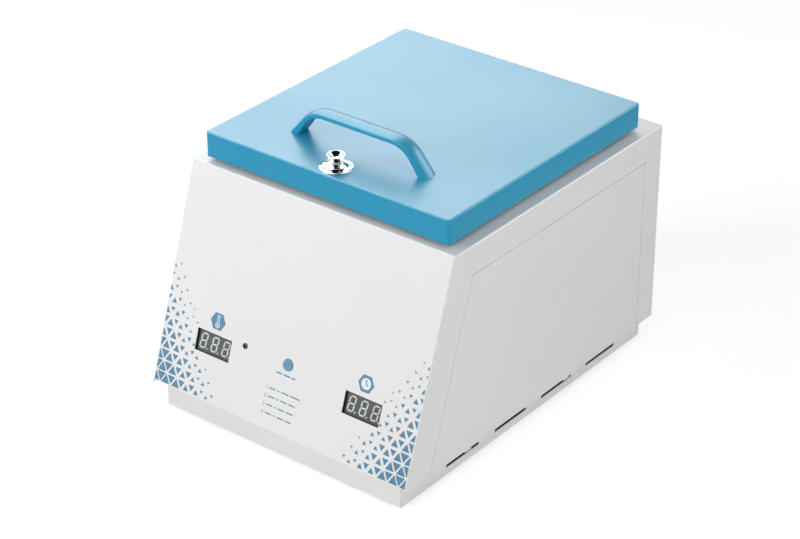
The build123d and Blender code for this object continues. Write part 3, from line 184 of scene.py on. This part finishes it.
def paint_with_shaded_inside(name, colour, roughness, low, high, depth):
    """Powder coat on the outside of a folded pan, with painted shade: its inner faces are near black, for the
    dark inside of the housing.
    """
    material = powder_coat(name, colour, roughness)
    tree = material.node_tree
    shader = tree.nodes["Principled BSDF"]
    paint = shader.inputs["Base Color"].links[0].from_socket
    place = tree.nodes.new("ShaderNodeTexCoord")
    at = tree.nodes.new("ShaderNodeSeparateXYZ")
    tree.links.new(place.outputs["Object"], at.inputs["Vector"])
    # The mask is 1 on the pan's outer faces, which keep the white coat, and 0 deeper in
    painted = calculate(tree, "LESS_THAN", at.outputs["Z"], low.z + depth)
    for axis in ("x", "y"):
        side = at.outputs[axis.upper()]
        beyond_low = calculate(tree, "LESS_THAN", side, getattr(low, axis) + depth)
        beyond_high = calculate(tree, "GREATER_THAN", side, getattr(high, axis) - depth)
        painted = calculate(tree, "MAXIMUM", painted, beyond_low)
        painted = calculate(tree, "MAXIMUM", painted, beyond_high)
    # Painted shade: near black wherever a face lies inside the pan
    mix = tree.nodes.new("ShaderNodeMixRGB")
    mix.inputs["Color1"].default_value = (*PAN_INSIDE_SHADE, 1.0)
    tree.links.new(painted, mix.inputs["Fac"])
    tree.links.new(paint, mix.inputs["Color2"])
    tree.links.new(mix.outputs["Color"], shader.inputs["Base Color"])
    return material


def brushed_steel(name, colour, roughness, stretch):
    """Sheet steel with a straight brushed grain."""
    material = surface(name, colour, roughness, metallic=1.0)
    grain = texture(material, "ShaderNodeTexNoise", 700.0, stretch=stretch, Detail=4.0)
    cloud = texture(material, "ShaderNodeTexNoise", 14.0, Detail=2.0)
    vary_colour(material, cloud.outputs["Fac"], shade(colour, 0.93), shade(colour, 1.03))
    vary_roughness(material, grain.outputs["Fac"], roughness - 0.06, roughness + 0.10)
    add_bump(material, grain.outputs["Fac"], 0.010 * MM)
    return material


def zinc_sheet(name, colour):
    """Galvanized sheet with faint spangles."""
    material = surface(name, colour, 0.42, metallic=1.0)
    spangle = texture(material, "ShaderNodeTexVoronoi", 130.0)
    vary_colour(material, spangle.outputs["Color"], shade(colour, 0.82), shade(colour, 1.08))
    vary_roughness(material, spangle.outputs["Distance"], 0.36, 0.52)
    return material


def mineral_wool(name, colour):
    """Matted fibres."""
    material = surface(name, colour, 0.95)
    fibres = texture(material, "ShaderNodeTexNoise", 420.0, stretch=(1.0, 1.0, 5.0), Detail=6.0)
    clumps = texture(material, "ShaderNodeTexNoise", 45.0, Detail=3.0)
    vary_colour(material, fibres.outputs["Fac"], shade(colour, 0.7), shade(colour, 1.15))
    add_bump(material, clumps.outputs["Fac"], 1.5 * MM)
    add_bump(material, fibres.outputs["Fac"], 0.4 * MM)
    return material


def moulded(name, colour, roughness, grain=900.0, depth=0.012, **sockets):
    """Moulded plastic or rubber with a fine eroded grain."""
    material = surface(name, colour, roughness, **sockets)
    fine = texture(material, "ShaderNodeTexNoise", grain, Detail=3.0)
    cloud = texture(material, "ShaderNodeTexNoise", 60.0, Detail=2.0)
    vary_colour(material, cloud.outputs["Fac"], shade(colour, 0.93), shade(colour, 1.06))
    vary_roughness(material, fine.outputs["Fac"], roughness - 0.04, roughness + 0.06)
    add_bump(material, fine.outputs["Fac"], depth * MM)
    return material


def plated(name, colour, roughness):
    """Plated metal with hairline marks that show only in its gloss."""
    material = surface(name, colour, roughness, metallic=1.0)
    marks = texture(material, "ShaderNodeTexNoise", 500.0, stretch=(1.0, 1.0, 8.0), Detail=4.0)
    vary_roughness(material, marks.outputs["Fac"], roughness * 0.8, roughness * 1.4)
    return material


def circuit_board(name):
    """Green solder mask over straight copper tracks."""
    material = surface(name, (0.02, 0.14, 0.05), 0.35)
    tracks = texture(material, "ShaderNodeTexBrick", 260.0)
    vary_colour(material, tracks.outputs["Fac"], (0.015, 0.11, 0.04), (0.05, 0.22, 0.08))
    add_bump(material, tracks.outputs["Fac"], 0.03 * MM)
    return material


def ink(name, colour):
    """Screen-printed ink: a thin satin film with a slightly uneven cover."""
    material = surface(name, colour, 0.42)
    cover = texture(material, "ShaderNodeTexNoise", 320.0, Detail=3.0)
    vary_colour(material, cover.outputs["Fac"], shade(colour, 0.92), shade(colour, 1.07))
    add_bump(material, cover.outputs["Fac"], 0.004 * MM)
    return material


def make_finishes():
    """One material for each material slot of the record."""
    return {
        "white_powder": powder_coat("white_powder", WHITE_PAINT, 0.46),
        "blue_powder": powder_coat("blue_powder", BLUE_PAINT, 0.36, Specular_IOR_Level=0.32),
        "stainless": brushed_steel("stainless", (0.62, 0.61, 0.59), 0.28, (0.02, 1.0, 1.0)),
        "zinc_sheet": zinc_sheet("zinc_sheet", (0.58, 0.60, 0.62)),
        "mineral_wool": mineral_wool("mineral_wool", (0.62, 0.55, 0.30)),
        "silicone": moulded("silicone", (0.42, 0.10, 0.06), 0.48, 600.0, 0.01),
        "black_rubber": moulded("black_rubber", (0.025, 0.025, 0.026), 0.72, 500.0, 0.03),
        "chrome_plate": plated("chrome_plate", (0.86, 0.87, 0.88), 0.035),
        "zinc_screw": plated("zinc_screw", (0.66, 0.67, 0.69), 0.24),
        "display_face": moulded("display_face", (0.050, 0.058, 0.058), 0.34, 1500.0, 0.003),
        "display_segment": moulded("display_segment", (0.66, 0.69, 0.68), 0.45, 1500.0, 0.003),
        "circuit_board": circuit_board("circuit_board"),
        "black_plastic": moulded("black_plastic", (0.022, 0.022, 0.023), 0.40),
        "blue_plastic": moulded("blue_plastic", (0.095, 0.28, 0.44), 0.38),
        "lamp_lens": moulded("lamp_lens", (0.03, 0.03, 0.035), 0.12, 1500.0, 0.002, Coat_Weight=1.0),
        "brass_contact": plated("brass_contact", (0.80, 0.62, 0.30), 0.22),
        "heater_sheath": brushed_steel("heater_sheath", (0.24, 0.22, 0.20), 0.42, (1.0, 1.0, 1.0)),
        "core_steel": brushed_steel("core_steel", (0.30, 0.30, 0.31), 0.46, (1.0, 1.0, 0.03)),
        "terminal_plastic": moulded("terminal_plastic", (0.03, 0.22, 0.10), 0.40),
    }


finishes = make_finishes()
print_blue = ink("print_blue", PRINT_BLUE)
print_white = ink("print_white", PRINT_WHITE)

for part in frame["record"]["subparts"]:
    for slot in nodes[part["node"]].material_slots:
        slot.material = finishes[part["material_slot"]]

# The plinth's pan: white coat outside, painted shade on its inner faces
plinth_paint_and_shade = paint_with_shaded_inside("plinth_paint_and_shade", WHITE_PAINT, 0.46, *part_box("base_tray"), PLINTH_SHADE_INSET)
nodes["base_tray"].material_slots[0].material = plinth_paint_and_shade


def new_piece(name, mesh, material, body, smooth_angle=None):
    """Turns a bmesh into a piece that rides on a body and has its finish."""
    bmesh.ops.recalc_face_normals(mesh, faces=mesh.faces)
    data = bpy.data.meshes.new(name)
    mesh.to_mesh(data)
    mesh.free()
    data.materials.append(material)
    if smooth_angle is not None:
        data.shade_smooth()
        data.set_sharp_from_angle(angle=math.radians(smooth_angle))
    piece = bpy.data.objects.new(name, data)
    bpy.context.scene.collection.objects.link(piece)
    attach(piece, body)
    return piece


# The sloped front: x across, y up the slope, z out of the paint
shell_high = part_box("outer_shell")[1]
panel_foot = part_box("base_tray")[1].z
panel_rise = shell_high.z - panel_foot
panel_lean = math.atan2(FRONT_LEAN, panel_rise)
panel_place = (
    Matrix.Translation((0.0, shell_high.y - BODY_DEPTH, panel_foot))
    @ Matrix.Rotation(math.pi / 2 - panel_lean, 4, "X")
)


def add_prism(mesh, outline, low, high, place=panel_place):
    """Thin closed prism over an outline in millimetres, between two heights."""
    lower = [mesh.verts.new(place @ Vector((x * MM, y * MM, low * MM))) for x, y in outline]
    upper = [mesh.verts.new(place @ Vector((x * MM, y * MM, high * MM))) for x, y in outline]
    mesh.faces.new(upper)
    mesh.faces.new(lower[::-1])
    for index, corner in enumerate(lower):
        after = (index + 1) % len(lower)
        mesh.faces.new((corner, lower[after], upper[after], upper[index]))


def circle(x, y, radius, count=40, start=0.0, sweep=360.0):
    """Points round a circle or an arc, in millimetres."""
    closed = sweep == 360.0
    steps = count if closed else count - 1
    turns = [math.radians(start + sweep * index / steps) for index in range(count)]
    return [(x + radius * math.cos(turn), y + radius * math.sin(turn)) for turn in turns]


def bar(x_low, x_high, y, height):
    """Bar with round ends."""
    radius = height / 2
    right = circle(x_high - radius, y, radius, 9, -90.0, 180.0)
    left = circle(x_low + radius, y, radius, 9, 90.0, 180.0)
    return right + left


# Heights of the print's layers over the paint, in millimetres
INK_LOW = -0.02
INK_HIGH = 0.04
SECOND_INK = 0.07
THIRD_INK = 0.10

# Print on the front, in millimetres from the middle of its bottom edge
TRIANGLE_EDGE = 11.7
TRIANGLE_MOST = 0.83
TRIANGLE_LEAST = 0.15
LATTICE_START = 0.41
FADE_ACROSS = 78.0
FADE_UP = 124.0
EDGE_MARGIN = 1.8
HEXAGON_RADIUS = 8.4
HEXAGON_OFFSET = 80.9
HEXAGON_LEVEL = 72.3
DISPLAY_LEVEL = 50.8
WINDOW_OFFSET = 81.6
WINDOW_WIDTH = 38.5
WINDOW_HEIGHT = 19.8
WINDOW_MARGIN = 0.3
# Painted shade down each window's cut edge: its width, depth, set-back and clearance
WINDOW_SHADE = 0.2
WINDOW_SHADE_DEPTH = 2.1
WINDOW_SHADE_BACKSET = 0.12
WINDOW_SHADE_CLEARANCE = 0.02

# Cross recess of a screw, as shares of the head's radius, and its depth in millimetres
CROSS_REACH = 0.55
CROSS_HALF_WIDTH = 0.13
CROSS_DEPTH = 0.7

# Angles over which an edge stays sharp, in degrees
TURNED_ANGLE = 40.0
SCREW_ANGLE = 35.0


def clipped(outline, axis, limit, sign):
    """The part of a convex outline on one side of a straight limit."""
    kept = []
    for index, point in enumerate(outline):
        before = outline[index - 1]
        inside = sign * (point[axis] - limit) >= 0
        inside_before = sign * (before[axis] - limit) >= 0
        if inside != inside_before:
            share = (limit - before[axis]) / (point[axis] - before[axis])
            kept.append(tuple(b + share * (p - b) for b, p in zip(before, point)))
        if inside:
            kept.append(point)
    return kept


def clear_of_window(outline, centre, side):
    """The part of a triangle that the display's window leaves."""
    edge = side * (WINDOW_OFFSET + WINDOW_WIDTH / 2)
    low = DISPLAY_LEVEL - WINDOW_HEIGHT / 2
    high = DISPLAY_LEVEL + WINDOW_HEIGHT / 2
    if side * centre[0] > side * edge:
        return clipped(outline, 0, edge + side * WINDOW_MARGIN, side) if low < centre[1] < high else outline
    if low < centre[1] < high:
        return []
    if centre[1] <= low:
        return clipped(outline, 1, low - WINDOW_MARGIN, -1)
    return clipped(outline, 1, high + WINDOW_MARGIN, 1)


def triangle_pattern(side):
    """Triangular lattice whose triangles shrink away from a lower corner of the panel."""
    mesh = bmesh.new()
    half = BODY_WIDTH / MM / 2
    row_height = TRIANGLE_EDGE * math.sqrt(3) / 2
    inner_radius = TRIANGLE_EDGE / math.sqrt(3)
    for row in range(int(FADE_UP / row_height) + 1):
        for step in range(2 * int(FADE_ACROSS / TRIANGLE_EDGE) + 4):
            upright = (step + row) % 2 == 0
            across = (step + LATTICE_START) * TRIANGLE_EDGE / 2
            level = row_height * (row + (1 / 3 if upright else 2 / 3))
            distance = max(0.0, across) / FADE_ACROSS + level / FADE_UP
            ripple = 0.07 * math.sin(1.9 * step + 2.6 * row) * min(1.0, 2.5 * distance)
            share = min(TRIANGLE_MOST, 0.14 + 0.90 * (1.0 - distance) + ripple)
            if share < TRIANGLE_LEAST:
                continue
            centre = (side * (half - across), level)
            outline = circle(*centre, inner_radius * share, 3, 90.0 if upright else -90.0)
            outline = clipped(outline, 0, side * (half - EDGE_MARGIN), -side)
            outline = clipped(outline, 1, EDGE_MARGIN / 2, 1)
            outline = clear_of_window(outline, centre, side)
            if len(outline) > 2:
                add_prism(mesh, outline, INK_LOW, INK_HIGH)
    return mesh


def hexagon_badge(x, y):
    """Flat-topped hexagon that carries a pictogram."""
    mesh = bmesh.new()
    add_prism(mesh, circle(x, y, HEXAGON_RADIUS, 6), INK_LOW, INK_HIGH)
    return mesh


def thermometer_outline(x, y, grow):
    """Stem and bulb in one outline."""
    stem = 1.35 + grow
    bulb = 2.6 + grow
    y_bulb = y - 3.3
    angle = math.degrees(math.acos(stem / bulb))
    lower = circle(x, y_bulb, bulb, 25, 180.0 - angle, 180.0 + 2 * angle)
    upper = circle(x, y + 4.3, stem, 13, 0.0, 180.0)
    return lower + upper


def thermometer(x, y):
    """White outline of a thermometer, with its bulb filled."""
    white = bmesh.new()
    add_prism(white, thermometer_outline(x, y, 0.0), INK_HIGH, SECOND_INK)
    add_prism(white, circle(x, y - 3.3, 1.1, 20), SECOND_INK, THIRD_INK)
    blue = bmesh.new()
    add_prism(blue, thermometer_outline(x, y, -0.75), SECOND_INK, THIRD_INK - 0.01)
    return white, blue


def clock(x, y):
    """White clock face with two hands."""
    white = bmesh.new()
    add_prism(white, circle(x, y, 5.0), INK_HIGH, SECOND_INK)
    blue = bmesh.new()
    hand = 0.45
    add_prism(blue, [(x - hand, y - hand), (x + hand, y - hand), (x + hand, y + 3.6), (x - hand, y + 3.6)],
              SECOND_INK, THIRD_INK)
    tip = (x + 2.0, y - 1.9)
    add_prism(blue, [(x - 0.4, y - 0.1), (tip[0] - 0.3, tip[1] - 0.3), (tip[0] + 0.3, tip[1] + 0.3),
                     (x + 0.4, y + 0.5)], SECOND_INK, THIRD_INK)
    return white, blue


def numeral(mesh, text, x, y, height):
    """Adds a printed figure, with its left edge and baseline at a point."""
    curve = bpy.data.curves.new("numeral", "FONT")
    curve.body = text
    curve.size = height * MM / 0.7
    curve.extrude = (INK_HIGH - INK_LOW) / 2 * MM
    curve.resolution_u = 3
    figure = bpy.data.objects.new("numeral", curve)
    bpy.context.scene.collection.objects.link(figure)
    bpy.context.view_layer.update()
    depsgraph = bpy.context.evaluated_depsgraph_get()
    data = bpy.data.meshes.new_from_object(figure.evaluated_get(depsgraph))
    data.transform(panel_place @ Matrix.Translation((x * MM, y * MM, (INK_HIGH + INK_LOW) / 2 * MM)))
    mesh.from_mesh(data)
    bpy.data.objects.remove(figure)
    bpy.data.meshes.remove(data)
    bpy.data.curves.remove(curve)


def setting_rows():
    """A plain mark under the button, and four numbered rows of plain bars."""
    mesh = bmesh.new()
    for low, high in ((-10.5, -4.2), (-3.0, 4.6), (5.8, 10.2)):
        add_prism(mesh, bar(low, high, 51.2, 1.3), INK_LOW, INK_HIGH)
    rows = (
        ("1", 34.2, ((-14.5, -7.5), (-5.8, -3.6), (-1.8, 6.8), (8.2, 18.6))),
        ("2", 26.8, ((-14.5, -7.0), (-5.3, -3.1), (-1.2, 6.6), (8.0, 15.0))),
        ("3", 19.4, ((-14.5, -7.8), (-6.0, -3.8), (-2.0, 5.4), (6.8, 14.4))),
        ("4", 12.0, ((-14.5, -7.4), (-5.7, -3.5), (-1.6, 5.8), (7.2, 14.2))),
    )
    for figure, level, bars in rows:
        numeral(mesh, figure, -18.6, level, 3.0)
        for low, high in bars:
            add_prism(mesh, bar(low, high, level + 1.5, 1.1), INK_LOW, INK_HIGH)
    return mesh


def print_on_front():
    """Everything that is screen-printed on the sloped front."""
    for side, name in ((-1, "left"), (1, "right")):
        new_piece("print_triangles_" + name, triangle_pattern(side), print_blue, "housing")
        x = side * HEXAGON_OFFSET
        badge = hexagon_badge(x, HEXAGON_LEVEL)
        new_piece("print_badge_" + name, badge, print_blue, "housing")
    for name, (white, blue) in (
        ("thermometer", thermometer(-HEXAGON_OFFSET, HEXAGON_LEVEL)),
        ("clock", clock(HEXAGON_OFFSET, HEXAGON_LEVEL)),
    ):
        new_piece("print_" + name + "_white", white, print_white, "housing")
        new_piece("print_" + name + "_blue", blue, print_blue, "housing")
    new_piece("print_settings", setting_rows(), print_blue, "housing")


print_on_front()


def add_frame(mesh, x, y, outer, inner, low, high):
    """Rectangular frame on the sloped front, in millimetres."""
    corners = []
    for width, height in (outer, inner):
        corners.append([
            (x + side_x * width / 2, y + side_y * height / 2)
            for side_x, side_y in ((-1, -1), (1, -1), (1, 1), (-1, 1))
        ])
    for index in range(4):
        after = (index + 1) % 4
        outline = [corners[0][index], corners[0][after], corners[1][after], corners[1][index]]
        add_prism(mesh, outline, low, high)


def shade_window_edges():
    """Painted shade: a thin black frame down the cut edge of each display's window, where its wall lies in
    shade.
    """
    for side, name in ((-1, "left"), (1, "right")):
        outer = (WINDOW_WIDTH - 2 * WINDOW_SHADE_CLEARANCE, WINDOW_HEIGHT - 2 * WINDOW_SHADE_CLEARANCE)
        inner = (outer[0] - 2 * WINDOW_SHADE, outer[1] - 2 * WINDOW_SHADE)
        mesh = bmesh.new()
        add_frame(mesh, side * WINDOW_OFFSET, DISPLAY_LEVEL, outer, inner, -WINDOW_SHADE_DEPTH, -WINDOW_SHADE_BACKSET)
        # Painted shade: the frame is black plastic standing in for the shade on the window's wall
        new_piece("window_shade_" + name, mesh, finishes["black_plastic"], "housing")


shade_window_edges()


def lathe(profile, place, count=96):
    """Body of revolution about a vertical axis, from (radius, height) points in metres."""
    mesh = bmesh.new()
    rings = []
    for radius, height in profile:
        if radius < 1e-7:
            rings.append([mesh.verts.new((place.x, place.y, height))])
            continue
        turns = [2 * math.pi * index / count for index in range(count)]
        rings.append([
            mesh.verts.new((place.x + radius * math.cos(a), place.y + radius * math.sin(a), height))
            for a in turns
        ])
    for lower, upper in zip(rings, rings[1:]):
        for index in range(count):
            after = (index + 1) % count
            corners = [lower[index % len(lower)], lower[after % len(lower)],
                       upper[after % len(upper)], upper[index % len(upper)]]
            mesh.faces.new(list(dict.fromkeys(corners)))
    return mesh


def arc(centre, radius, start, end, count):
    """Points along an arc of a profile."""
    turns = [math.radians(start + (end - start) * index / (count - 1)) for index in range(count)]
    return [(centre[0] + radius * math.cos(a), centre[1] + radius * math.sin(a)) for a in turns]


def curve_through(points, count):
    """Smooth line through a few profile points."""
    padded = [points[0], *points, points[-1]]
    line = []
    for index in range(1, len(padded) - 2):
        before, a, b, after = (Vector(padded[index + shift]) for shift in (-1, 0, 1, 2))
        for step in range(count):
            t = step / count
            line.append(tuple(0.5 * (
                2 * a + (b - before) * t
                + (2 * before - 5 * a + 4 * b - after) * t * t
                + (3 * a - before - 3 * b + after) * t ** 3
            )))
    return [*line, points[-1]]


def make_latch_head():
    """Polished escutcheon and cupped knob, turned finer than the solids they stand for."""
    low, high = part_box("latch_rosette")
    centre = (low + high) / 2
    lid_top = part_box("lid_shell")[1].z
    rim = (high.x - low.x) / 2
    crown = high.z - lid_top
    neck = 6.9 * MM
    bore = 3.1 * MM
    bell = [
        (bore, lid_top), (rim - 0.3 * MM, lid_top),
        *arc((rim - 0.4 * MM, lid_top + 0.4 * MM), 0.4 * MM, -60.0, 80.0, 8),
        *curve_through([
            (rim - 0.9 * MM, lid_top + 0.84 * MM),
            (rim - 1.5 * MM, lid_top + 1.0 * MM),
            (rim * 0.79, lid_top + crown * 0.64),
            (rim * 0.64, lid_top + crown * 0.85),
            (neck + 0.4 * MM, high.z - 0.08 * MM),
        ], 8),
        (neck, high.z), (bore, high.z), (bore, lid_top),
    ]
    chrome = finishes["chrome_plate"]
    piece = new_piece("latch_bell", lathe(bell, centre), chrome, "lid", TURNED_ANGLE)
    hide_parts("latch_rosette")
    knob_low, knob_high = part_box("latch_knob")
    foot = knob_low.z
    top = knob_high.z
    edge = (knob_high.x - knob_low.x) / 2
    body = 6.2 * MM
    knob = [
        (0.0, foot), (body - 0.3 * MM, foot), (body, foot + 0.3 * MM),
        *curve_through([
            (body, foot + 0.5 * MM),
            (body + 0.15 * MM, foot + 2.4 * MM),
            (body + 0.55 * MM, foot + 4.2 * MM),
            (edge - 0.40 * MM, top - 1.2 * MM),
            (edge - 0.05 * MM, top - 0.6 * MM),
        ], 8),
        *arc((edge - 0.35 * MM, top - 0.35 * MM), 0.35 * MM, -10.0, 150.0, 10),
        *curve_through([
            (edge - 0.8 * MM, top - 0.55 * MM),
            (edge - 1.6 * MM, top - 1.1 * MM),
            (edge * 0.40, top - 3.4 * MM),
            (0.9 * MM, top - 4.05 * MM),
            (0.0, top - 4.15 * MM),
        ], 8),
    ]
    piece = new_piece("knob_head", lathe(knob, centre), chrome, "latch", TURNED_ANGLE)
    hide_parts("latch_knob")


make_latch_head()


def islands(mesh):
    """Groups of vertices that hang together."""
    left = set(mesh.verts)
    while left:
        start = left.pop()
        group = [start]
        waiting = [start]
        while waiting:
            for edge in waiting.pop().link_edges:
                for vertex in edge.verts:
                    if vertex in left:
                        left.remove(vertex)
                        group.append(vertex)
                        waiting.append(vertex)
        yield group


def plus_outline(reach, half_width):
    """Cross with square arms."""
    a, w = reach, half_width
    return [
        (w, w), (w, a), (-w, a), (-w, w), (-a, w), (-a, -w),
        (-w, -w), (-w, -a), (w, -a), (w, -w), (a, -w), (a, w),
    ]


def subtract(mesh, cutter):
    """Takes one mesh away from another."""
    made = []
    for name, part in (("body", mesh), ("cutter", cutter)):
        data = bpy.data.meshes.new(name)
        part.to_mesh(data)
        part.free()
        made.append(bpy.data.objects.new(name, data))
        bpy.context.scene.collection.objects.link(made[-1])
    body, tool = made
    modifier = body.modifiers.new("cut", "BOOLEAN")
    modifier.operation = "DIFFERENCE"
    modifier.solver = "EXACT"
    modifier.object = tool
    bpy.context.view_layer.update()
    result = bmesh.new()
    result.from_object(body, bpy.context.evaluated_depsgraph_get())
    for item in made:
        data = item.data
        bpy.data.objects.remove(item)
        bpy.data.meshes.remove(data)
    return result


def recess_screws(node, body, outward):
    """Cross recess in the head of each screw of a node."""
    mesh = bmesh.new()
    mesh.from_mesh(nodes[node].data)
    bmesh.ops.remove_doubles(mesh, verts=mesh.verts, dist=1e-7)
    outward = Vector(outward)
    turn = outward.to_track_quat("Z", "Y").to_matrix().to_4x4()
    cutter = bmesh.new()
    for group in islands(mesh):
        points = [vertex.co for vertex in group]
        low = Vector(tuple(min(point[axis] for point in points) for axis in range(3)))
        high = Vector(tuple(max(point[axis] for point in points) for axis in range(3)))
        centre = (low + high) / 2
        top = max(outward.dot(point) for point in points)
        seat = centre + outward * (top - outward.dot(centre))
        across = [side for side in range(3) if abs(outward[side]) < 0.5]
        radius = max(high[side] - low[side] for side in across) / 2 / MM
        place = Matrix.Translation(seat) @ turn
        cross = plus_outline(radius * CROSS_REACH, radius * CROSS_HALF_WIDTH)
        add_prism(cutter, cross, -CROSS_DEPTH, CROSS_DEPTH, place)
    bmesh.ops.recalc_face_normals(cutter, faces=cutter.faces)
    cut = subtract(mesh, cutter)
    piece = new_piece(node + "_crossed", cut, finishes["zinc_screw"], body, SCREW_ANGLE)
    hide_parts(node)


for screws, carrier, outward in (
    ("hinge_body_screws", "housing", (0, 0, 1)),
    ("hinge_lid_screws", "lid", (0, 1, 0)),
    ("inlet_screws", "housing", (0, 1, 0)),
    ("foot_screws", "housing", (0, 0, -1)),
    ("base_screws", "housing", (0, 0, -1)),
    ("lid_plate_screws", "lid", (0, 0, -1)),
    ("latch_bar_screw", "latch", (0, 0, -1)),
):
    recess_screws(screws, carrier, outward)


def mark_rocker():
    """Plain on and off marks, one on each face of the rocker."""
    shape = bmesh.new()
    shape.from_mesh(nodes["switch_rocker"].data)
    surfaces = BVHTree.FromBMesh(shape)
    shape.free()
    low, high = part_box("switch_rocker")
    centre = (low + high) / 2
    mesh = bmesh.new()
    for level, is_on in ((0.22, False), (-0.22, True)):
        start = Vector((centre.x, high.y + 0.01, centre.z + level * (high.z - low.z)))
        place, normal, _, _ = surfaces.ray_cast(start, Vector((0, -1, 0)))
        turn = Matrix.Translation(place) @ normal.to_track_quat("Z", "Y").to_matrix().to_4x4()
        if is_on:
            add_prism(mesh, [(-0.3, -1.6), (0.3, -1.6), (0.3, 1.6), (-0.3, 1.6)], INK_LOW, INK_HIGH, turn)
            continue
        outer, inner = circle(0, 0, 1.6), circle(0, 0, 1.1)
        for index in range(len(outer)):
            after = (index + 1) % len(outer)
            add_prism(mesh, [outer[index], outer[after], inner[after], inner[index]], INK_LOW, INK_HIGH, turn)
    new_piece("rocker_marks", mesh, print_white, "rocker")


mark_rocker()


def add_rectangle(name, width, height, material):
    """Flat stage piece round the origin."""
    mesh = bmesh.new()
    corners = [(x * width / 2, y * height / 2, 0.0) for x, y in ((-1, -1), (1, -1), (1, 1), (-1, 1))]
    mesh.faces.new([mesh.verts.new(corner) for corner in corners])
    data = bpy.data.meshes.new(name)
    mesh.to_mesh(data)
    mesh.free()
    data.materials.append(material)
    rectangle = bpy.data.objects.new(name, data)
    bpy.context.scene.collection.objects.link(rectangle)
    return rectangle


def make_floor():
    """Pale floor that stays white to the camera and keeps the object's shadow."""
    material = surface("floor_paper", FLOOR_PAPER, 0.9, Specular_IOR_Level=0.0)
    tree = material.node_tree
    path = tree.nodes.new("ShaderNodeLightPath")
    shader = tree.nodes["Principled BSDF"]
    shader.inputs["Emission Color"].default_value = (1.0, 1.0, 1.0, 1.0)
    glow = calculate(tree, "MULTIPLY", path.outputs["Is Camera Ray"], FLOOR_GLOW)
    tree.links.new(glow, shader.inputs["Emission Strength"])
    add_rectangle("floor", 12.0, 12.0, material)


def make_world():
    """Even ambient light, and plain white wherever it is seen directly or in a reflection."""
    world = bpy.data.worlds.new("studio")
    bpy.context.scene.world = world
    world.use_nodes = True
    tree = world.node_tree
    background = tree.nodes["Background"]
    background.inputs["Color"].default_value = (1.0, 1.0, 1.0, 1.0)
    path = tree.nodes.new("ShaderNodeLightPath")
    seen = calculate(tree, "MAXIMUM", path.outputs["Is Camera Ray"], path.outputs["Is Glossy Ray"])
    seen = calculate(tree, "MAXIMUM", seen, path.outputs["Is Transmission Ray"])
    spread = tree.nodes.new("ShaderNodeMapRange")
    spread.inputs["To Min"].default_value = WORLD_LIGHT
    spread.inputs["To Max"].default_value = 1.0
    tree.links.new(seen, spread.inputs["Value"])
    tree.links.new(spread.outputs["Result"], background.inputs["Strength"])


def face_towards(thing, place, aim):
    """Puts a lamp or a card at a place and turns it to a point."""
    thing.location = place
    thing.rotation_euler = (Vector(aim) - Vector(place)).to_track_quat("-Z", "Y").to_euler()


def add_lamp(name, place, size, power, aim=(0.0, 0.0, 0.2), diffuse=True, glossy=True):
    """Soft rectangular lamp that faces a point on the object."""
    data = bpy.data.lights.new(name, "AREA")
    data.shape = "RECTANGLE"
    data.size, data.size_y = size
    data.energy = power
    lamp = bpy.data.objects.new(name, data)
    bpy.context.scene.collection.objects.link(lamp)
    face_towards(lamp, place, aim)
    lamp.visible_camera = False
    lamp.visible_diffuse = diffuse
    lamp.visible_glossy = glossy


def make_lamps():
    """Soft light from the front left, above and the right, and panels that show only as sheen."""
    add_lamp("front_lamp", (-2.5, -3.3, 1.35), (1.8, 1.8), 104.0)
    add_lamp("top_lamp", (0.7, -0.35, 1.9), (1.3, 1.3), 3.0, glossy=False)
    add_lamp("right_lamp", (2.3, -0.3, 0.8), (0.9, 1.0), 18.5, glossy=False)
    add_lamp("back_sheen", (-1.35, 1.1, 1.5), (1.8, 1.8), 58.0, diffuse=False)
    add_lamp("crown_sheen", (-1.05, 0.25, 1.9), (1.1, 0.9), 24.0, diffuse=False)
    add_lamp("leg_sheen", (1.25, 1.45, 1.25), (1.5, 1.1), 48.0, diffuse=False)
    add_lamp("edge_sheen", (-1.15, -1.0, 1.65), (0.6, 0.6), 25.0, diffuse=False)


def add_card(name, place, size, material, aim=(0.0, -0.1, 0.25)):
    """Black card that only glossy surfaces show."""
    card = add_rectangle(name, *size, material)
    face_towards(card, place, aim)
    card.visible_camera = False
    card.visible_diffuse = False
    card.visible_shadow = False
    card.visible_transmission = False


def make_cards():
    """Dark cards above, at the right and behind the camera, for polished metal to show."""
    black = surface("card_black", CARD_BLACK, 1.0, Specular_IOR_Level=0.0)
    add_card("card_above", (0.5, -0.5, 2.3), (3.0, 2.4), black)
    add_card("card_right", (1.9, -0.4, 0.85), (1.5, 1.1), black)
    add_card("card_front", (1.35, -1.95, 1.1), (2.6, 2.2), black)


def make_camera():
    """Camera at the photograph's place, with its lens."""
    data = bpy.data.cameras.new("camera")
    data.lens = CAMERA_LENS
    data.sensor_width = 36.0
    camera = bpy.data.objects.new("camera", data)
    bpy.context.scene.collection.objects.link(camera)
    camera.location = CAMERA_PLACE
    camera.rotation_euler = Vector(CAMERA_AIM).to_track_quat("-Z", "Y").to_euler()
    bpy.context.scene.camera = camera


make_floor()
make_world()
make_lamps()
make_cards()
make_camera()
bpy.context.scene.view_settings.view_transform = "Standard"
